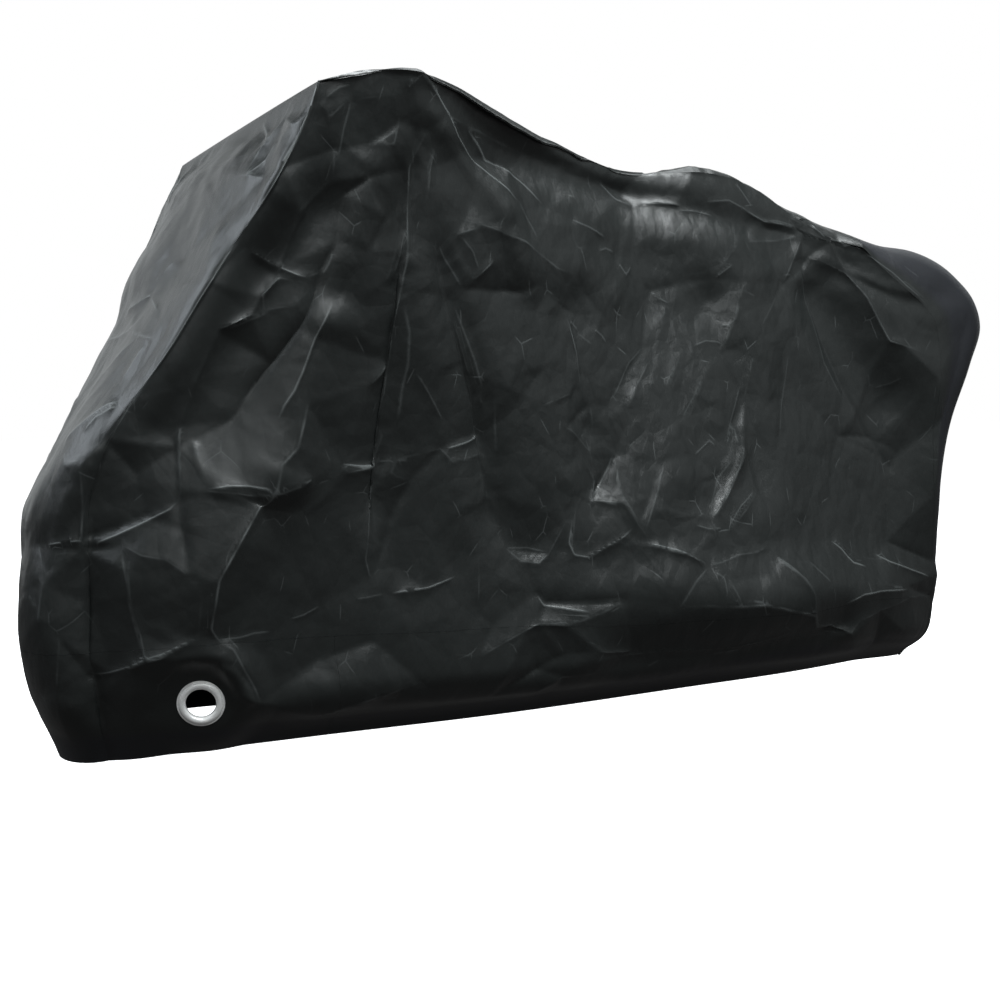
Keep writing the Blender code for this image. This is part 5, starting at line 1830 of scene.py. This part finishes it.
@dataclass(frozen=True)
class CoatedCloth:
    """Black cloth under a thin, glossy, slightly green coating; crest lines lightened by rubbing and
    painted highlight.
    """

    name: str = "coated cloth"
    colour: Colour = (0.0075, 0.0090, 0.0088, 1.0)
    calm_colour: Colour = (0.0060, 0.0070, 0.0098, 1.0)
    # The crest lines' colour: partly rubbing of the coating, partly painted highlight.
    crest_highlight_colour: Colour = (0.120, 0.130, 0.130, 1.0)
    dust_colour: Colour = (0.030, 0.031, 0.030, 1.0)
    roughness: float = 0.30
    calm_roughness: float = 0.42
    crinkle_slope: float = 0.055
    weave_height: float = 0.00002
    crest_width: float = 0.0024
    crest_wear_and_highlight: float = 0.62
    ridge_width: float = 0.0028
    ridge_height: float = 0.0008
    crinkle_wear_and_highlight: float = 0.6
    dust_amount: float = 0.6
    dust_tint: float = 0.5
    dust_roughness: float = 0.30

    def material(self, groups: dict[str, bpy.types.NodeTree]) -> bpy.types.Material:
        """Make the material.

        Args:
            groups: The shared node groups by name.

        Returns:
            The material.
        """
        made, kit, shader = new_material(self.name)
        shader.inputs["Specular IOR Level"].default_value = 0.5
        place = kit.add("ShaderNodeUVMap", uv_map="cloth")
        wear_and_highlight = kit.add("ShaderNodeAttribute", attribute_name="wear_and_highlight")
        calm = kit.add("ShaderNodeAttribute", attribute_name="calm")
        parts = {}
        for name, tree in groups.items():
            parts[name] = kit.add("ShaderNodeGroup", node_tree=tree)
            kit.join(place.outputs[0], parts[name].inputs["Place"])
        dust = kit.maths("MULTIPLY", parts["dust"].outputs[0], self.dust_amount)
        base = kit.mix_colours(calm.outputs["Fac"], self.colour, self.calm_colour)
        dusty = kit.mix_colours(kit.maths("MULTIPLY", dust, self.dust_tint), base, self.dust_colour)
        busy = kit.add("ShaderNodeAttribute", attribute_name="busy").outputs["Fac"]
        lines = kit.maths("MULTIPLY", parts["crinkle"].outputs["Crest highlight"], busy)
        signed_gap = kit.add("ShaderNodeAttribute", attribute_name="gap").outputs["Fac"]
        gap = kit.maths("ABSOLUTE", signed_gap)
        nearness = kit.maths("SUBTRACT", 1.0, kit.maths("DIVIDE", gap, self.crest_width))
        thin = kit.maths("MAXIMUM", nearness, 0.0)
        # Crest lines lightened in colour: partly rubbing, partly painted highlight.
        rubbed_and_lit = kit.maths("MULTIPLY", wear_and_highlight.outputs["Fac"], thin)
        all_rubbed_and_lit = kit.maths("ADD", rubbed_and_lit, kit.maths("MULTIPLY", lines, self.crinkle_wear_and_highlight))
        crest = kit.maths("MULTIPLY", all_rubbed_and_lit, self.crest_wear_and_highlight)
        bell = kit.maths("EXPONENT", kit.maths("DIVIDE", gap, -self.ridge_width))
        ridge = kit.maths("MULTIPLY", wear_and_highlight.outputs["Fac"], bell)
        kit.join(kit.mix_colours(crest, dusty, self.crest_highlight_colour), shader.inputs["Base Color"])
        rough = kit.maths("ADD", self.roughness, kit.maths("MULTIPLY", dust, self.dust_roughness))
        calmer = kit.maths("MULTIPLY", calm.outputs["Fac"], self.calm_roughness - self.roughness)
        kit.join(kit.maths("ADD", rough, calmer), shader.inputs["Roughness"])
        slopes = kit.maths("MULTIPLY", parts["crinkle"].outputs["Height"], busy)
        crinkle = kit.maths("MULTIPLY", slopes, self.crinkle_slope)
        weave = kit.maths("MULTIPLY", parts["weave"].outputs[0], self.weave_height)
        bump = kit.add("ShaderNodeBump", Strength=1.0, Distance=1.0)
        pressed = kit.maths("MULTIPLY", ridge, self.ridge_height)
        fine = kit.maths("ADD", kit.maths("ADD", crinkle, weave), pressed)
        kit.join(fine, bump.inputs["Height"])
        kit.join(bump.outputs[0], shader.inputs["Normal"])
        return made


@dataclass(frozen=True)
class NickelPlate:
    """Bright satin nickel with a little tarnish, duller and faintly bumped where tarnished."""

    name: str = "nickel plate"
    colour: Colour = (0.96, 0.96, 0.95, 1.0)
    tarnish: Colour = (0.82, 0.82, 0.81, 1.0)
    roughness: float = 0.16
    metallic: float = 0.22
    dust_roughness: float = 0.35

    def material(self, dust: bpy.types.NodeTree) -> bpy.types.Material:
        """Make the material, its tarnish from the shared dust."""
        made, kit, shader = new_material(self.name)
        shader.inputs["Metallic"].default_value = self.metallic
        where = kit.add("ShaderNodeTexCoord")
        marks = kit.add("ShaderNodeGroup", node_tree=dust, Scale=60.0)
        kit.join(where.outputs["Object"], marks.inputs["Place"])
        tarnished = kit.mix_colours(marks.outputs[0], self.colour, self.tarnish)
        kit.join(tarnished, shader.inputs["Base Color"])
        duller = kit.maths("MULTIPLY", marks.outputs[0], self.dust_roughness)
        kit.join(kit.maths("ADD", self.roughness, duller), shader.inputs["Roughness"])
        bump = kit.add("ShaderNodeBump", Strength=0.15, Distance=0.0002)
        kit.join(marks.outputs[0], bump.inputs["Height"])
        kit.join(bump.outputs[0], shader.inputs["Normal"])
        return made


# ------------------------------------------------------------------ the whole cover
@dataclass
class Cover:
    """The cover: five panels, two lengths of hem strip and two eyelets."""

    strip_split: float = 0.22
    cloth: CoatedCloth = field(default_factory=CoatedCloth)
    metal: NickelPlate = field(default_factory=NickelPlate)

    def pieces(self, skin: Skin) -> list[ClothPiece]:
        """List the pieces of cloth as stretches of the skin's grids.

        Args:
            skin: The built skin.

        Returns:
            The five panels and the two lengths of hem strip.
        """
        grids, cut = skin.grids, skin.panel_rows
        split = int(self.strip_split * skin.side_steps / 2) * 2
        strip = {name: grids[name][:, cut:] for name in ("near", "far", "front", "rear")}
        nose = np.concatenate([strip["near"][split:0:-1], strip["front"][:-1], strip["far"][:split + 1]])
        tail = np.concatenate([strip["near"][split:-1], strip["rear"][:-1], strip["far"][:split - 1:-1]])
        panel = {name: grids[name][:, :cut + 1] for name in ("near", "far", "front", "rear")}
        return [
            ClothPiece("front_panel", "cloth", ClothCut(0.60, 0.98, 0.34), panel["front"], True),
            ClothPiece("top_panel", "cloth", ClothCut(0.62, 1.28, 0.38), grids["top"], True),
            ClothPiece("rear_panel", "cloth", ClothCut(0.50, 1.00, 0.36), panel["rear"], False),
            ClothPiece("side_panel_near", "cloth", ClothCut(0.92, 1.72, 1.24), panel["near"], False),
            ClothPiece("side_panel_far", "cloth", ClothCut(0.92, 1.72, 1.22), panel["far"], True),
            ClothPiece("hem_strip_front", "hem_cloth", ClothCut(0.20, 0.98, 0.192), nose, True, True),
            ClothPiece("hem_strip_rear", "hem_cloth", ClothCut(0.18, 2.90, 0.516), tail, False, True),
        ]

    def build(self) -> None:
        """Build and dress every piece."""
        skin = Skin()
        skin.build()
        groups = {"crinkle": crinkle_group(), "weave": weave_group(), "dust": dust_group()}
        cloth, metal = self.cloth.material(groups), self.metal.material(groups["dust"])
        made: dict[str, bpy.types.Object] = {}
        for piece in self.pieces(skin):
            node = piece.name
            piece.name = node + "_cloth"
            built = piece.build(skin)
            made[node] = built
            if node == "hem_strip_front":
                for place in EYELETS:
                    Eyelet(place).cut_cloth(built)
            built.data.materials.clear()
            built.data.materials.append(cloth)
            piece.declare(built, node)
            LOG.info("%s: %d faces", built.name, len(built.data.polygons))
        for place in EYELETS:
            ring = Eyelet(place).build()
            ring.data.materials.append(metal)
            LOG.info("%s: %d faces", ring.name, len(ring.data.polygons))


# ------------------------------------------------------------------ floor, light and camera
@dataclass(frozen=True)
class SoftBox:
    """A soft light: where it hangs, what it points at, its size and its power."""

    name: str
    place: tuple[float, float, float]
    aim: tuple[float, float, float]
    width: float
    height: float
    power: float
    colour: tuple[float, float, float] = (0.955, 1.0, 1.012)

    def hang(self) -> None:
        """Add the light to the scene."""
        light = bpy.data.lights.new(self.name, "AREA")
        light.shape, light.energy = "RECTANGLE", self.power
        light.size, light.size_y = self.width, self.height
        light.color = self.colour
        lamp = add_object(self.name, light)
        lamp.location = self.place
        lamp.rotation_euler = (Vector(self.aim) - Vector(self.place)).to_track_quat("-Z", "Y").to_euler()
        lamp.visible_camera = False


@dataclass
class Studio:
    """A plain pale room: floor, surround, soft boxes and the camera."""

    floor_reach: float = 12.0
    floor_colour: Colour = (0.90, 0.90, 0.90, 1.0)
    floor_glow: float = 0.93
    room_level: float = 0.085
    lens: float = 58.6
    sensor: float = 36.0
    camera_place: tuple[float, float, float] = (-1.700, -2.510, -0.331)
    camera_azimuth: float = -28.5
    camera_elevation: float = 5.0
    boxes: tuple[SoftBox, ...] = (
        SoftBox("top_front", (-0.4, -1.4, 2.6), (0.0, 0.0, 0.0), 3.0, 1.0, 280.0),
        SoftBox("top", (1.1, 0.1, 2.5), (0.0, 0.0, 0.0), 3.0, 1.6, 60.0),
        SoftBox("key", (0.0, -3.2, 2.0), (0.0, 0.0, -0.3), 3.6, 0.8, 48.0),
        SoftBox("back_left", (-3.5, 1.2, 1.5), (-0.9, 0.0, -0.1), 3.0, 2.0, 68.0, (0.925, 1.0, 1.07)),
        SoftBox("backdrop", (-1.5, 4.0, 0.5), (-0.6, 0.0, 0.0), 3.0, 2.6, 19.0),
        SoftBox("backdrop_right", (3.6, 3.0, 0.5), (0.5, 0.0, 0.0), 3.0, 2.6, 22.0),
        SoftBox("low_right", (2.4, -3.2, -0.3), (0.3, 0.0, -0.5), 2.0, 1.2, 1.0),
        SoftBox("far_right", (3.4, -2.4, 0.8), (0.3, 0.0, -0.3), 2.0, 2.0, 4.2),
        SoftBox("front_left", (-3.2, -3.4, 1.3), (-0.5, 0.0, -0.5), 2.0, 1.8, 13.0),
    )

    def floor(self) -> None:
        """Lay the floor at ground level."""
        reach = self.floor_reach
        ground = -HANG_POINT[2]
        corners = np.array([[-reach, -reach, ground], [reach, -reach, ground],
                            [reach, reach, ground], [-reach, reach, ground]])
        mesh = mesh_from_faces("floor", corners, np.array([[0, 1, 2, 3]]))
        floor = add_object("floor", mesh)
        pale, _, shader = new_material("pale floor")
        shader.inputs["Base Color"].default_value = self.floor_colour
        shader.inputs["Roughness"].default_value = 0.9
        shader.inputs["Emission Color"].default_value = (1.0, 1.0, 1.0, 1.0)
        shader.inputs["Emission Strength"].default_value = self.floor_glow
        mesh.materials.append(pale)
        floor.visible_glossy = False
        floor.visible_diffuse = False

    def surround(self) -> None:
        """Set the room: white behind the cover, and dimmer in what the cover reflects."""
        world = bpy.data.worlds.new("pale room")
        world.use_nodes = True
        kit = NodeKit(world.node_tree)
        back = world.node_tree.nodes["Background"]
        back.inputs["Color"].default_value = (1.0, 1.0, 1.0, 1.0)
        path = kit.add("ShaderNodeLightPath")
        lift = kit.maths("MULTIPLY", path.outputs["Is Camera Ray"], 1.0 - self.room_level)
        kit.join(kit.maths("ADD", lift, self.room_level), back.inputs["Strength"])
        bpy.context.scene.world = world

    def camera(self) -> None:
        """Set the camera at the photograph's height, angle and distance."""
        turn, lift = math.radians(self.camera_azimuth), math.radians(self.camera_elevation)
        back = Vector((math.sin(turn) * math.cos(lift), -math.cos(turn) * math.cos(lift), math.sin(lift)))
        right = Vector((math.cos(turn), math.sin(turn), 0.0))
        up = back.cross(right)
        data = bpy.data.cameras.new("camera")
        data.lens, data.sensor_width = self.lens, self.sensor
        data.clip_start, data.clip_end = 0.05, 60.0
        camera = add_object("camera", data)
        frame = Matrix((right, up, back)).transposed().to_4x4()
        frame.translation = self.camera_place
        camera.matrix_world = frame
        bpy.context.scene.camera = camera

    def build(self) -> None:
        """Build the room."""
        bpy.context.scene.view_settings.view_transform = "Standard"
        self.floor()
        self.surround()
        self.camera()
        for box in self.boxes:
            box.hang()


def main() -> None:
    """Load the frame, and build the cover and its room."""
    logging.basicConfig(level=logging.INFO, format="%(name)s: %(message)s")
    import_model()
    Studio().build()
    Cover().build()
    bpy.context.view_layer.update()


if __name__ == "__main__":
    main()
